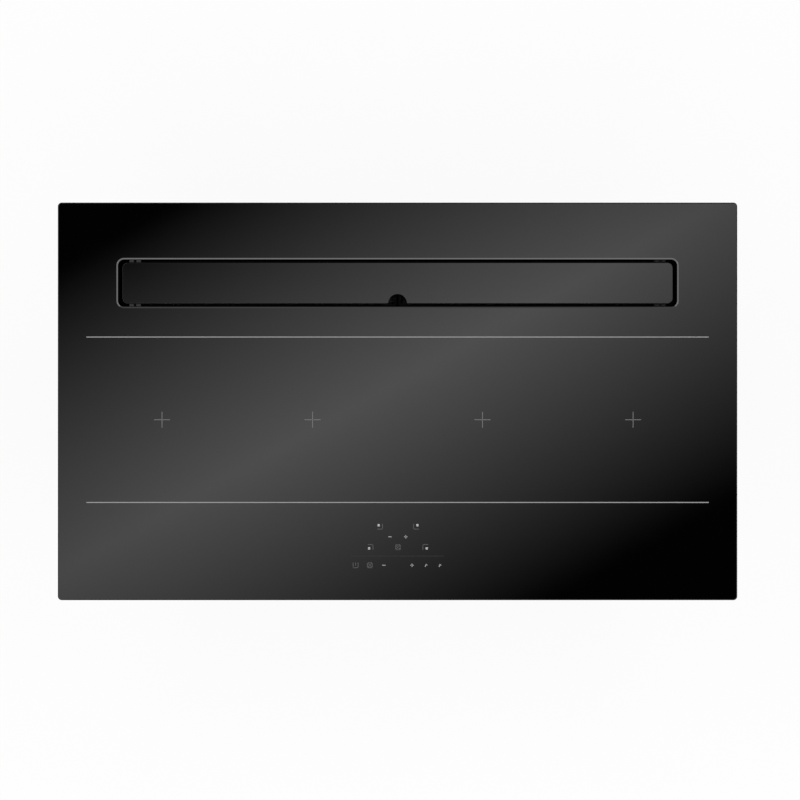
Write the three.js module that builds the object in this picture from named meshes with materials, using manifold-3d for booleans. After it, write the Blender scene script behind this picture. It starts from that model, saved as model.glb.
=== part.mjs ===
// A downdraft induction cooktop: a black glass top with four in-line cooking zones, and a suction slot
// behind them whose blower hangs under the worktop.
// Millimetres. +X is to the cook's right, +Y to the rear, +Z up. The origin is the centre of the cut-out
// in the worktop, at the worktop's upper surface.
import * as THREE from "three";
import { mergeVertices } from "three/addons/utils/BufferGeometryUtils.js";
import Module from "manifold-3d";

const wasm = await Module();
wasm.setup();

// ------------------------------------------------------------------------------- driving dimensions
const GAP = 0.3; // left between pieces that lie against each other
const OVER = 1; // how far a cutting shape reaches past what it cuts
const ARC_STEPS = 3; // half the straight pieces in each arc of an outline
const GLASS_ARC_STEPS = 5; // the same for the glass pieces
const ROUND_SIDES = 24; // sides of a large round piece
const SMALL_SIDES = 12; // sides of a small round piece

// Glass top and what seals it to the worktop
const GLASS_T = 4;
const GLASS_CORNER_R = 5;
const GLASS_BEVEL = 1.3;
const GLASS_OVERHANG = 3; // glass edge beyond the seal
const SEAL_W = 12;
const SEAL_T = 2;
const SEAL_CLEAR = 2; // seal to glass frame
const FRAME_FLANGE = 20; // glass frame's flange under the glass
const FRAME_T = 1.2;
const FRAME_SKIRT = 16;

// Cooking zones, side by side
const COIL_W = 190;
const COIL_D = 210;
const COIL_SPACE = 5; // between the coils of one pair
const CENTRE_SPACE = 30; // between the pairs
const COIL_CORNER_R = 60;
const COIL_RIM = 2; // carrier beyond the winding
const COIL_HOLE_W = 44;
const COIL_HOLE_D = 64;
const COIL_HOLE_R = 20;
const SENSOR_R = 9; // bore for the temperature sensor
const INSULATION_T = 1;
const WINDING_T = 3.5;
const CARRIER_T = 5.5;
const DECK_T = 1.5;
const DECK_MARGIN = 4; // deck beyond the coils, front and rear
const DECK_SIDE_CLEAR = 2;

// What lies between the zones and the edges of the glass
const SIDE_CLEAR = 3;
const REAR_SPACE = 22.55; // behind the slot frame
const SLOT_TO_COILS = 27.25;
const COILS_TO_TOUCH = 22;
const FRONT_SPACE = 1.7;

// Suction slot, its frame, and the loose cover
const SLOT_W = 724.5;
const SLOT_D = 61.5;
const SLOT_R = 8;
const SLOT_CHAMFER_W = 1.75;
const SLOT_CHAMFER_H = 0.8;
const SLOT_FLANGE = 12;
const SLOT_FLANGE_T = 1.5;
const WELL_WALL = 2;
const WELL_H = 74;
const WELL_FLOOR_T = 2;
const WELL_SHELF = 10; // ledge that the filters stand on
const SUCTION_GAP_END = 5.95; // open gap round the cover
const SUCTION_GAP_SIDE = 4.4;
const COVER_R = 7;
const COVER_BEVEL = 0.5;
const NOTCH_R = 12; // finger notch
const NOTCH_FILLET = 2;
const LUG_INSET = 16.3; // lug centre from the cover's end
const LUG_W = 16;
const LUG_REACH = 14.5;
const LUG_T = 6;
const EAR_W = 5; // ears that keep the cover in its place
const EAR_PITCH = 9;
const EAR_T = 3;
const EAR_H = 4.3;
const EAR_CLEAR = 0.65;
const PAD_W = 13;
const PAD_D = 7;
const PAD_T = 2.5;
const PAD_INSET = 0.35;
const BACKING_D = 26;
const BACKING_T = 1.2;
const BACKING_H = 6;
const BACKING_CLEAR = 2; // backing to the lugs

// Grease filters
const FILTER_H = 60;
const FILTER_WALL = 1.2;
const FILTER_CLEAR = 2; // to the well's walls and lugs
const FILTER_SPACE = 3; // between the two
const FILTER_LIP = 5;
const HANDLE_W = 22;
const HANDLE_T = 1.5;
const MESH_H = 36;
const MESH_T = 3;
const MESH_PLEATS = 9;

// Base tray and the electronics in it
const TRAY_H = 56.5;
const TRAY_WALL = 1;
const TRAY_HOLE_CLEAR = 1.5; // round the well
const TOUCH_W = 236;
const TOUCH_D = 68;
const TOUCH_WALL = 2;
const TOUCH_RIM_H = 12;
const TOUCH_LEG = 12;
const BOARD_T = 1.6;
const BOARD_STANDOFF = 4.4;
const STANDOFF_W = 8;
const POWER_W = 240;
const POWER_D = 170;
const POWER_X = 270; // board centre from the middle
const SINK_W = 100;
const SINK_H = 32;
const SINK_FINS = 9;
const SINK_BASE = 5;
const FIN_T = 2;
const MAINS_W = 130;
const MAINS_D = 150;
const COMPONENT_EDGE = 12; // between a board's edge and its parts
const CHOKE_W = 72;
const CHOKE_D = 22;
const CHOKE_H = 21;
const CAPACITOR_W = 50;
const CAPACITOR_D = 20;
const CAPACITOR_H = 16;
const POWER_PART_PITCH = 42;
const MAINS_PART = 34; // side of the mains filter's choke and capacitor
const MAINS_CHOKE_H = 27;
const RELAY_D = 25;
const RELAY_H = 11;
const FAN_SIZE = 94;
const FAN_H = 30;
const FAN_WALL = 2;
const FAN_ROTOR_R = 36;
const FAN_ROTOR_EYE_R = 27;
const FAN_ROTOR_H = 20;
const FAN_BLADES = 12;
const FAN_RUN_CLEAR = 4;
const FAN_TOP_CLEAR = 1; // rotor to the housing's roof
const FAN_PIN_R = 3;
const GRILLE_SLOTS = 5;
const GRILLE_SLOT_W = 4;
const GRILLE_PITCH = 10;

// Extraction: plenum under the slot, blower in front of it, flat outlet on the right
const PLENUM_CLEAR = 3; // well to plenum wall
const PLENUM_WALL = 1.2;
const PORT_W = 350; // air port between plenum and blower box
const PORT_EDGE = 4.5; // port to the faces above and below it
const DRIP_H = 29;
const DRIP_W = 356;
const DRIP_D = 68;
const DRIP_WALL = 1.5;
const DRIP_LEDGE = 6; // rim of the plenum's floor over the drip tray
const BOX_WALL = 1;
const BOX_CLEAR = 8; // scroll to the box's walls
const INLET_SPACE = 50; // over the scroll
const TAB_L = 40; // screw tabs of the blower box
const TAB_W = 12;
const IMPELLER_R = 95;
const IMPELLER_EYE_R = 80;
const IMPELLER_H = 60;
const IMPELLER_BASE = 28.7; // scroll floor to impeller
const IMPELLER_TOP_CLEAR = 7.3;
const IMPELLER_BLADES = 24;
const BLADE_T = 1.4;
const BLADE_LEAN = 25; // degrees
const WHEEL_PLATE_T = 2;
const HUB_R = 10;
const HUB_H = 11;
const MOTOR_R = 46;
const MOTOR_H = 46;
const MOTOR_FOOT_T = 3;
const MOTOR_FOOT_R = 58;
const MOTOR_CLEAR = 4; // motor to the cup of the impeller
const SHAFT_R = 4;
const SHAFT_IN_MOTOR = 30;
const SCROLL_CLEAR = 10; // impeller to the tongue
const SCROLL_GROWTH = 45; // per turn
const SCROLL_STEPS = 30;
const SCROLL_WALL = 2;
const TONGUE_ANGLE = -30; // degrees from +X
const SCROLL_END_ANGLE = 270;
const OUTLET_RUN = 238; // impeller axis to the scroll's outlet
const INLET_LIP_H = 3;
const INLET_R = 78;

// Flat duct outlet, 220 x 90 ducting, with its non-return damper
const DUCT_W = 222;
const DUCT_H = 89;
const DUCT_WALL = 2;
const DUCT_LENGTH = 45;
const DUCT_FLANGE = 8;
const DUCT_FLANGE_T = 2;
const DUCT_LIFT = 4; // flange over the box's floor
const DAMPER_X = 14;
const DAMPER_PIN_R = 2;
const DAMPER_BARREL_R = 4;
const DAMPER_DROP = 6; // pin below the duct's roof
const DAMPER_T = 1.2;
const DAMPER_CLEAR = 2;

// Supply and fixing
const TERMINAL_W = 100;
const TERMINAL_D = 60;
const TERMINAL_H = 38;
const TERMINAL_WALL = 2;
const TERMINAL_X = -300;
const TERMINAL_SPACE = 2; // terminal box behind the power board over it
const GLAND_R = 9;
const GLAND_BORE_R = 6;
const GLAND_NUT_R = 12;
const GLAND_NUT_T = 12;
const CLAMP_INSET = 21; // pivot from the tray's side
const CLAMP_END_INSET = 69; // pivot from the tray's front or rear
const CLAMP_L = 44;
const CLAMP_W = 18;
const CLAMP_T = 2.5;
const CLAMP_DROP = 16; // arm below the tray
const CLAMP_SCREW_R = 3;
const CLAMP_BOSS_R = 7;
const CLAMP_HEAD_R = 6.5;
const CLAMP_HEAD_T = 3.5;
const JACK_R = 3;
const JACK_DOWN = 10;

// -------------------------------------------------------------------------------- worked-out places
const coilFieldW = 4 * COIL_W + 2 * COIL_SPACE + CENTRE_SPACE;
const wellW = SLOT_W + 2 * WELL_WALL;
const wellD = SLOT_D + 2 * WELL_WALL;
const slotFrameW = wellW + 2 * SLOT_FLANGE;
const slotFrameD = wellD + 2 * SLOT_FLANGE;
const openW = Math.max(coilFieldW, slotFrameW) + 2 * SIDE_CLEAR;
const openD =
  REAR_SPACE + slotFrameD + SLOT_TO_COILS + COIL_D + COILS_TO_TOUCH + TOUCH_D + FRONT_SPACE;
const frameW = openW + 2 * FRAME_FLANGE;
const frameD = openD + 2 * FRAME_FLANGE;
const sealInW = frameW + 2 * SEAL_CLEAR;
const sealInD = frameD + 2 * SEAL_CLEAR;
const sealW = sealInW + 2 * SEAL_W;
const sealD = sealInD + 2 * SEAL_W;
const glassW = sealW + 2 * GLASS_OVERHANG;
const glassD = sealD + 2 * GLASS_OVERHANG;
const trayW = frameW - 2 * (FRAME_T + GAP);
const trayD = frameD - 2 * (FRAME_T + GAP);

// From rear to front
const slotY = openD / 2 - REAR_SPACE - slotFrameD / 2;
const coilY = slotY - slotFrameD / 2 - SLOT_TO_COILS - COIL_D / 2;
const touchY = coilY - COIL_D / 2 - COILS_TO_TOUCH - TOUCH_D / 2;
const coilX = CENTRE_SPACE / 2 + COIL_W / 2;
const coilPlaces = [-coilX - COIL_W - COIL_SPACE, -coilX, coilX, coilX + COIL_W + COIL_SPACE];

// From top to bottom
const zGlass = SEAL_T + GAP;
const zTop = zGlass + GLASS_T;
const zUnderGlass = zGlass - GAP; // upper face of whatever is bonded to the glass
const zInsulation = zUnderGlass - INSULATION_T;
const zWinding = zInsulation - GAP - WINDING_T;
const zCarrier = zWinding - GAP - CARRIER_T;
const zDeck = zCarrier - GAP - DECK_T;
const zTrayTop = zUnderGlass - FRAME_T - GAP;
const zTray = zTrayTop - TRAY_H;
const zTrayFloor = zTray + TRAY_WALL;
const zOnFloor = zTrayFloor + GAP;
const zUnderTray = zTray - GAP;
const zPad = zGlass - GAP - PAD_T;
const zLug = zPad - GAP;
const zWell = zUnderGlass - WELL_H;
const zFilter = zWell + WELL_FLOOR_T + GAP;

// Cover and what carries it
const coverW = SLOT_W - 2 * SUCTION_GAP_END;
const coverD = SLOT_D - 2 * SUCTION_GAP_SIDE;
const lugX = coverW / 2 - LUG_INSET;
const filterW = lugX - LUG_W / 2 - FILTER_CLEAR - FILTER_SPACE / 2;
const filterD = SLOT_D - 2 * FILTER_CLEAR;
const filterX = FILTER_SPACE / 2 + filterW / 2;

// Blower
const tongueTurn = THREE.MathUtils.degToRad(TONGUE_ANGLE);
const scrollEndTurn = THREE.MathUtils.degToRad(SCROLL_END_ANGLE);
const scrollR = (turn) =>
  IMPELLER_R + SCROLL_CLEAR + (SCROLL_GROWTH * (turn - tongueTurn)) / (2 * Math.PI);
const scrollInH = IMPELLER_BASE + IMPELLER_H + IMPELLER_TOP_CLEAR;
const scrollH = scrollInH + 2 * SCROLL_WALL;
const scrollFront = scrollR(scrollEndTurn) + SCROLL_WALL;
const scrollLeft = scrollR(Math.PI) + SCROLL_WALL;
const scrollRear = scrollR(Math.PI / 2) + SCROLL_WALL;
const ductInW = DUCT_W - 2 * DUCT_WALL;
const ductInH = DUCT_H - 2 * DUCT_WALL;
const boxW = 2 * BOX_WALL + BOX_CLEAR + scrollLeft + OUTLET_RUN + GAP;
const behindAxis = Math.max(scrollRear, ductInW - scrollFront + DUCT_FLANGE);
const boxD = 2 * (BOX_WALL + BOX_CLEAR) + scrollFront + behindAxis;
const boxH = BOX_WALL + GAP + scrollH + INLET_SPACE;
const plenumW = wellW + 2 * (PLENUM_CLEAR + PLENUM_WALL);
const plenumD = wellD + 2 * (PLENUM_CLEAR + PLENUM_WALL);
const plenumH = boxH - DRIP_H - GAP;
const boxRear = slotY - plenumD / 2 - GAP;
const boxY = boxRear - boxD / 2;
const zBox = zUnderTray - boxH;
const zPlenum = zUnderTray - plenumH;
const axisX = -boxW / 2 + BOX_WALL + BOX_CLEAR + scrollLeft;
const axisY = boxRear - boxD + BOX_WALL + BOX_CLEAR + scrollFront;
const zScroll = zBox + BOX_WALL + GAP;
const zScrollFloor = zScroll + SCROLL_WALL;
const portH = INLET_SPACE - 2 * PORT_EDGE;
const zPort = zUnderTray - PORT_EDGE - portH;
const ductY = axisY - scrollR(scrollEndTurn) + ductInW / 2;
const zDuct = zBox + BOX_WALL + DUCT_LIFT + DUCT_H / 2;

// ------------------------------------------------------------------------------------------ finishes
const finish = (color, roughness, metalness) =>
  new THREE.MeshStandardMaterial({ color, roughness, metalness });
const blackGlass = finish(0x0b0b0c, 0.05, 0);
const blackRubber = finish(0x161616, 0.8, 0);
const blackPlastic = finish(0x1b1b1c, 0.5, 0);
const greySilicone = finish(0x6d6e70, 0.7, 0);
const galvanised = finish(0xa9adb0, 0.45, 0.9);
const aluminium = finish(0xc4c7ca, 0.35, 0.95);
const stainless = finish(0xb6b8ba, 0.3, 0.95);
const blackEnamel = finish(0x101011, 0.45, 0);
const copper = finish(0xb06a3c, 0.4, 0.9);
const mica = finish(0xcfc6b2, 0.8, 0);
const carrierPlastic = finish(0xd8d6cf, 0.6, 0);
const greenBoard = finish(0x1f5a3a, 0.55, 0);
const greyPlastic = finish(0x8e9194, 0.55, 0);
const zincSteel = finish(0xb9bcbf, 0.4, 0.9);

// ------------------------------------------------------------------------------- shapes and booleans
function asSolid(shape) {
  if (!shape.isBufferGeometry) return shape;
  const bare = shape.clone();
  bare.deleteAttribute("normal");
  bare.deleteAttribute("uv");
  const merged = mergeVertices(bare);
  return new wasm.Manifold(
    new wasm.Mesh({
      numProp: 3,
      vertProperties: merged.attributes.position.array,
      triVerts: new Uint32Array(merged.index.array),
    }),
  );
}

function asGeometry(shape) {
  if (shape.isBufferGeometry) return shape;
  const { vertProperties, triVerts } = shape.getMesh();
  const geometry = new THREE.BufferGeometry();
  geometry.setAttribute("position", new THREE.BufferAttribute(vertProperties, 3));
  geometry.setIndex(new THREE.BufferAttribute(triVerts, 1));
  geometry.computeVertexNormals();
  return geometry;
}

const join = (first, ...others) =>
  others.reduce((sum, other) => sum.add(asSolid(other)), asSolid(first));

const cut = (first, ...others) =>
  others.reduce((rest, other) => rest.subtract(asSolid(other)), asSolid(first));

// A rectangle with round corners, centred on the origin.
function roundRect(w, d, r) {
  const x = w / 2 - r;
  const y = d / 2 - r;
  return new THREE.Shape()
    .absarc(x, -y, r, -Math.PI / 2, 0)
    .absarc(x, y, r, 0, Math.PI / 2)
    .absarc(-x, y, r, Math.PI / 2, Math.PI)
    .absarc(-x, -y, r, Math.PI, 1.5 * Math.PI);
}

// An outline raised from z0 to z1, its edges bevelled inwards by bevel over a height of rise.
function prism(shape, z0, z1, bevel = 0, rise = bevel, steps = ARC_STEPS) {
  return new THREE.ExtrudeGeometry(shape, {
    depth: z1 - z0 - 2 * rise,
    curveSegments: steps,
    bevelEnabled: bevel > 0,
    bevelSegments: 1,
    bevelSize: bevel,
    bevelOffset: -bevel,
    bevelThickness: rise,
  }).translate(0, 0, z0 + rise);
}

const plate = (w, d, r, z0, z1) => prism(roundRect(w, d, r), z0, z1);

// A box between two limits on each axis.
const block = ([x0, x1], [y0, y1], [z0, z1]) =>
  new THREE.BoxGeometry(x1 - x0, y1 - y0, z1 - z0).translate(
    (x0 + x1) / 2,
    (y0 + y1) / 2,
    (z0 + z1) / 2,
  );

// A box of width w and depth d round the Z axis.
const slab = (w, d, z0, z1) => block([-w / 2, w / 2], [-d / 2, d / 2], [z0, z1]);

const rod = (r, z0, z1, sides = SMALL_SIDES) =>
  new THREE.CylinderGeometry(r, r, z1 - z0, sides).rotateX(Math.PI / 2).translate(0, 0, (z0 + z1) / 2);

// An outline drawn in X and Z, drawn out to a depth d about the plane Y = 0.
const profileAlongY = (shape, d) => prism(shape, -d / 2, d / 2).rotateX(Math.PI / 2);

// ------------------------------------------------------------------------------------ scene graph
const cooktop = new THREE.Group();

function group(parent, x = 0, y = 0, z = 0) {
  const made = new THREE.Group();
  made.position.set(x, y, z);
  parent.add(made);
  return made;
}

function add(parent, name, shape, material) {
  const mesh = new THREE.Mesh(asGeometry(shape), material);
  mesh.name = name;
  parent.add(mesh);
  return mesh;
}

const sides = [
  ["left", -1],
  ["right", 1],
];
const corners = [
  ["front_left", -1, -1],
  ["front_right", 1, -1],
  ["rear_left", -1, 1],
  ["rear_right", 1, 1],
];

// --------------------------------------------------------------------------------- glass and seal
function glassTop() {
  const body = prism(roundRect(glassW, glassD, GLASS_CORNER_R), zGlass, zTop, GLASS_BEVEL);
  const hole = prism(roundRect(SLOT_W, SLOT_D, SLOT_R), zGlass - OVER, zTop + OVER, 0, 0, GLASS_ARC_STEPS);
  const chamfer = prism(
    roundRect(SLOT_W + 2 * SLOT_CHAMFER_W, SLOT_D + 2 * SLOT_CHAMFER_W, SLOT_R + SLOT_CHAMFER_W),
    zTop - SLOT_CHAMFER_H,
    zTop + SLOT_CHAMFER_H + OVER,
    SLOT_CHAMFER_W,
    SLOT_CHAMFER_H,
    GLASS_ARC_STEPS,
  );
  return cut(body, hole.translate(0, slotY, 0), chamfer.translate(0, slotY, 0));
}

function rimSeal() {
  const outer = plate(sealW, sealD, GLASS_CORNER_R, 0, SEAL_T);
  return cut(outer, plate(sealInW, sealInD, GLASS_CORNER_R, -OVER, SEAL_T + OVER));
}

function glassFrame() {
  const zSkirt = zUnderGlass - FRAME_SKIRT;
  const outer = plate(frameW, frameD, GLASS_CORNER_R, zSkirt, zUnderGlass);
  const inside = slab(frameW - 2 * FRAME_T, frameD - 2 * FRAME_T, zSkirt - OVER, zUnderGlass - FRAME_T);
  return cut(outer, inside, slab(openW, openD, zSkirt, zUnderGlass + OVER));
}

add(cooktop, "glass_top", glassTop(), blackGlass);
add(cooktop, "rim_seal", rimSeal(), blackRubber);
add(cooktop, "glass_frame", glassFrame(), galvanised);

// --------------------------------------------------------- suction slot: frame, pads, cover, filters
function slotFrame() {
  const flange = plate(slotFrameW, slotFrameD, SLOT_R, zUnderGlass - SLOT_FLANGE_T, zUnderGlass);
  const well = plate(wellW, wellD, SLOT_R + WELL_WALL, zWell, zUnderGlass);
  const inside = plate(SLOT_W, SLOT_D, SLOT_R, zWell + WELL_FLOOR_T, zUnderGlass + OVER);
  const windows = sides.map(([, side]) =>
    slab(filterW - 2 * WELL_SHELF, filterD - 2 * WELL_SHELF, zWell - OVER, zUnderGlass).translate(
      side * filterX,
      0,
      0,
    ),
  );
  const shell = cut(join(flange, well), inside, ...windows);
  return join(shell, ...lugs());
}

// The four lugs that carry the cover, each with two ears that stand up beside the cover's edge.
function lugs() {
  const pieces = [];
  for (const sideX of [-1, 1])
    for (const sideY of [-1, 1]) {
      const wall = SLOT_D / 2 + WELL_WALL / 2;
      const lug = slab(LUG_W, LUG_REACH + WELL_WALL / 2, zLug - LUG_T, zLug);
      pieces.push(lug.translate(sideX * lugX, sideY * (wall - (LUG_REACH + WELL_WALL / 2) / 2), 0));
      for (const sideEar of [-1, 1]) {
        const ear = slab(EAR_W, EAR_T, zLug - LUG_T / 2, zLug + EAR_H);
        const x = sideX * lugX + (sideEar * EAR_PITCH) / 2;
        pieces.push(ear.translate(x, sideY * (coverD / 2 + EAR_CLEAR + EAR_T / 2), 0));
      }
    }
  return pieces;
}

// The cover's outline: round corners, and the finger notch in its front edge with eased corners.
function coverOutline() {
  const x = coverW / 2 - COVER_R;
  const y = coverD / 2 - COVER_R;
  const edge = -coverD / 2;
  const foot = Math.sqrt((NOTCH_R + NOTCH_FILLET) ** 2 - NOTCH_FILLET ** 2);
  const lean = Math.atan2(NOTCH_FILLET, foot);
  return new THREE.Shape()
    .absarc(x, -y, COVER_R, -Math.PI / 2, 0)
    .absarc(x, y, COVER_R, 0, Math.PI / 2)
    .absarc(-x, y, COVER_R, Math.PI / 2, Math.PI)
    .absarc(-x, -y, COVER_R, Math.PI, 1.5 * Math.PI)
    .absarc(-foot, edge + NOTCH_FILLET, NOTCH_FILLET, -Math.PI / 2, -lean)
    .absarc(0, edge, NOTCH_R, Math.PI - lean, lean, true)
    .absarc(foot, edge + NOTCH_FILLET, NOTCH_FILLET, Math.PI + lean, 1.5 * Math.PI);
}

function coverBacking() {
  const w = 2 * (lugX - LUG_W / 2 - BACKING_CLEAR);
  const outer = slab(w, BACKING_D, zUnderGlass - BACKING_H, zUnderGlass);
  const inside = slab(
    w + 2 * OVER,
    BACKING_D - 2 * BACKING_T,
    zUnderGlass - BACKING_H - OVER,
    zUnderGlass - BACKING_T,
  );
  return cut(outer, inside);
}

function filterFrame() {
  const inW = filterW - 2 * FILTER_WALL;
  const inD = filterD - 2 * FILTER_WALL;
  const shell = cut(
    slab(filterW, filterD, 0, FILTER_H),
    slab(inW, inD, FILTER_WALL, FILTER_H + OVER),
    slab(inW - 2 * FILTER_LIP, inD - 2 * FILTER_LIP, -OVER, FILTER_H),
  );
  return join(shell, slab(HANDLE_W, inD + FILTER_WALL, FILTER_H - HANDLE_T, FILTER_H));
}

// A mat of wire mesh folded into pleats.
function filterMesh() {
  const w = filterW - 2 * (FILTER_WALL + GAP);
  const d = filterD - 2 * (FILTER_WALL + GAP);
  const steps = 2 * MESH_PLEATS;
  const fold = (i) => [(i / steps - 0.5) * w, i % 2 ? MESH_H - MESH_T : 0];
  const under = [];
  for (let i = 0; i <= steps; i += 1) under.push(new THREE.Vector2(...fold(i)));
  const over = under.map((p) => new THREE.Vector2(p.x, p.y + MESH_T)).reverse();
  return profileAlongY(new THREE.Shape([...under, ...over]), d);
}

const slot = group(cooktop, 0, slotY);
add(slot, "slot_frame", slotFrame(), blackPlastic);
for (const [place, sideX, sideY] of corners) {
  const pad = add(slot, `cover_pad_${place}`, slab(PAD_W, PAD_D, 0, PAD_T), greySilicone);
  pad.position.set(sideX * lugX, sideY * (coverD / 2 - PAD_INSET - PAD_D / 2), zPad);
}
add(slot, "cover_glass", prism(coverOutline(), zGlass, zTop, COVER_BEVEL), blackGlass);
add(slot, "cover_backing", coverBacking(), blackPlastic);
for (const [side, sign] of sides) {
  const filter = group(slot, sign * filterX, 0, zFilter);
  add(filter, `filter_frame_${side}`, filterFrame(), blackEnamel);
  const mesh = add(filter, `filter_mesh_${side}`, filterMesh(), aluminium);
  mesh.position.z = FILTER_WALL + GAP;
}

// ------------------------------------------------------------------------ induction coils and deck
function ovalRing(w, d, r, z0, z1) {
  return cut(
    plate(w, d, r, z0, z1),
    plate(COIL_HOLE_W, COIL_HOLE_D, COIL_HOLE_R, z0 - OVER, z1 + OVER),
  );
}

function coilCarrier() {
  return cut(
    plate(COIL_W, COIL_D, COIL_CORNER_R, zCarrier, zCarrier + CARRIER_T),
    rod(SENSOR_R, zCarrier - OVER, zUnderGlass),
  );
}

// The aluminium deck under the coils, folded down at both ends to stand on the tray's floor.
function coilDeck() {
  const w = trayW - 2 * (TRAY_WALL + DECK_SIDE_CLEAR);
  const d = COIL_D + 2 * DECK_MARGIN;
  const outer = slab(w, d, zOnFloor, zDeck + DECK_T);
  const inside = slab(w - 2 * DECK_T, d + 2 * OVER, zOnFloor - OVER, zDeck);
  const bores = coilPlaces.map((x) => rod(SENSOR_R, zDeck - OVER, zUnderGlass).translate(x, 0, 0));
  return cut(outer, inside, ...bores);
}

const coils = group(cooktop, 0, coilY);
coilPlaces.forEach((x, i) => {
  const coil = group(coils, x);
  const w = COIL_W - 2 * COIL_RIM;
  const d = COIL_D - 2 * COIL_RIM;
  const r = COIL_CORNER_R - COIL_RIM;
  const sheet = ovalRing(w, d, r, zInsulation, zUnderGlass);
  add(coil, `coil_insulation_${i + 1}`, sheet, mica);
  const winding = ovalRing(w, d, r, zWinding, zWinding + WINDING_T);
  add(coil, `coil_winding_${i + 1}`, winding, copper);
  add(coil, `coil_carrier_${i + 1}`, coilCarrier(), carrierPlastic);
});
add(coils, "coil_deck", coilDeck(), aluminium);

// ----------------------------------------------------------------------- base tray and electronics
const fanX = POWER_X + POWER_W / 2 - FAN_SIZE / 2;
const fanY = -trayD / 2 + TRAY_WALL + DECK_SIDE_CLEAR + FAN_SIZE / 2;
const powerY = fanY + FAN_SIZE / 2 + DECK_SIDE_CLEAR + POWER_D / 2;
const terminalY = powerY + POWER_D / 2 + TERMINAL_SPACE + TERMINAL_D / 2;

function baseTray() {
  const shell = cut(
    plate(trayW, trayD, GLASS_CORNER_R, zTray, zTrayTop),
    slab(trayW - 2 * TRAY_WALL, trayD - 2 * TRAY_WALL, zTrayFloor, zTrayTop + OVER),
  );
  const wellHole = plate(
    wellW + 2 * TRAY_HOLE_CLEAR,
    wellD + 2 * TRAY_HOLE_CLEAR,
    SLOT_R + WELL_WALL + TRAY_HOLE_CLEAR,
    zTray - OVER,
    zTrayTop,
  ).translate(0, slotY, 0);
  const leadHole = rod(GLAND_R, zTray - OVER, zTrayTop).translate(TERMINAL_X, terminalY, 0);
  return cut(shell, wellHole, leadHole, ...grilleSlots());
}

// The intake slots in the floor under the two cooling fans.
function grilleSlots() {
  const slots = [];
  for (const sign of [-1, 1])
    for (let i = 0; i < GRILLE_SLOTS; i += 1) {
      const x = sign * fanX + (i - (GRILLE_SLOTS - 1) / 2) * GRILLE_PITCH;
      const slit = slab(GRILLE_SLOT_W, 2 * FAN_ROTOR_EYE_R, zTray - OVER, zTrayTop);
      slots.push(slit.translate(x, fanY, 0));
    }
  return slots;
}

// A drum of leaning upright blades between a back plate and a rim, standing on z = 0.
function bladeWheel(r, eyeR, plateBoreR, h, blades) {
  const backPlate = cut(
    rod(r, 0, WHEEL_PLATE_T, ROUND_SIDES),
    rod(plateBoreR, -OVER, WHEEL_PLATE_T + OVER, ROUND_SIDES),
  );
  const rim = cut(
    rod(r, h - WHEEL_PLATE_T, h, ROUND_SIDES),
    rod(eyeR, h - WHEEL_PLATE_T - OVER, h + OVER, ROUND_SIDES),
  );
  const length = r - eyeR - 2 * BLADE_T;
  const standing = [];
  for (let i = 0; i < blades; i += 1)
    standing.push(
      slab(length, BLADE_T, WHEEL_PLATE_T / 2, h - WHEEL_PLATE_T / 2)
        .rotateZ(THREE.MathUtils.degToRad(BLADE_LEAN))
        .translate((r + eyeR) / 2, 0, 0)
        .rotateZ((2 * Math.PI * i) / blades),
    );
  return join(backPlate, rim, ...standing);
}

// A radial fan lying flat: it draws up through its floor and blows out at its rear side.
function fanHousing() {
  const chamberR = FAN_ROTOR_R + FAN_RUN_CLEAR;
  const zIn = FAN_WALL;
  const zRoof = FAN_H - FAN_WALL;
  const shell = cut(
    slab(FAN_SIZE, FAN_SIZE, 0, FAN_H),
    rod(chamberR, zIn, zRoof, ROUND_SIDES),
    block([-chamberR, chamberR], [0, FAN_SIZE / 2 + OVER], [zIn, zRoof]),
    rod(FAN_ROTOR_EYE_R, -OVER, FAN_H / 2, ROUND_SIDES),
  );
  return join(shell, rod(FAN_PIN_R, zRoof - FAN_ROTOR_H / 2, zRoof + FAN_WALL / 2));
}

function fanRotor() {
  const boreR = FAN_PIN_R + GAP;
  const hub = rod(HUB_R, 0, FAN_ROTOR_H / 2);
  const wheel = join(bladeWheel(FAN_ROTOR_R, FAN_ROTOR_EYE_R, HUB_R - OVER, FAN_ROTOR_H, FAN_BLADES), hub);
  return asGeometry(cut(wheel, rod(boreR, -OVER, FAN_ROTOR_H))).rotateX(Math.PI);
}

// A board on four standoffs, with blocks on it for its tall parts: [x, y, width, depth, height].
function circuitBoard(w, d, parts) {
  const zBoard = BOARD_STANDOFF;
  const pieces = [slab(w, d, zBoard, zBoard + BOARD_T)];
  const legX = w / 2 - STANDOFF_W / 2;
  const legY = d / 2 - STANDOFF_W / 2;
  for (const x of [-legX, legX])
    for (const y of [-legY, legY])
      pieces.push(slab(STANDOFF_W, STANDOFF_W, 0, zBoard + BOARD_T / 2).translate(x, y, 0));
  for (const [x, y, partW, partD, partH] of parts)
    pieces.push(slab(partW, partD, zBoard + BOARD_T / 2, zBoard + BOARD_T + partH).translate(x, y, 0));
  return join(...pieces);
}

// The inner part of a power board carries two chokes and two capacitors in turn, beside the heat sink.
function powerParts(sign) {
  const x = -sign * (POWER_W / 2 - COMPONENT_EDGE - CHOKE_W / 2);
  const parts = [];
  for (let i = 0; i < 4; i += 1) {
    const size = i % 2 ? [CAPACITOR_W, CAPACITOR_D, CAPACITOR_H] : [CHOKE_W, CHOKE_D, CHOKE_H];
    parts.push([x, (i - 1.5) * POWER_PART_PITCH, ...size]);
  }
  return parts;
}

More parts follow.
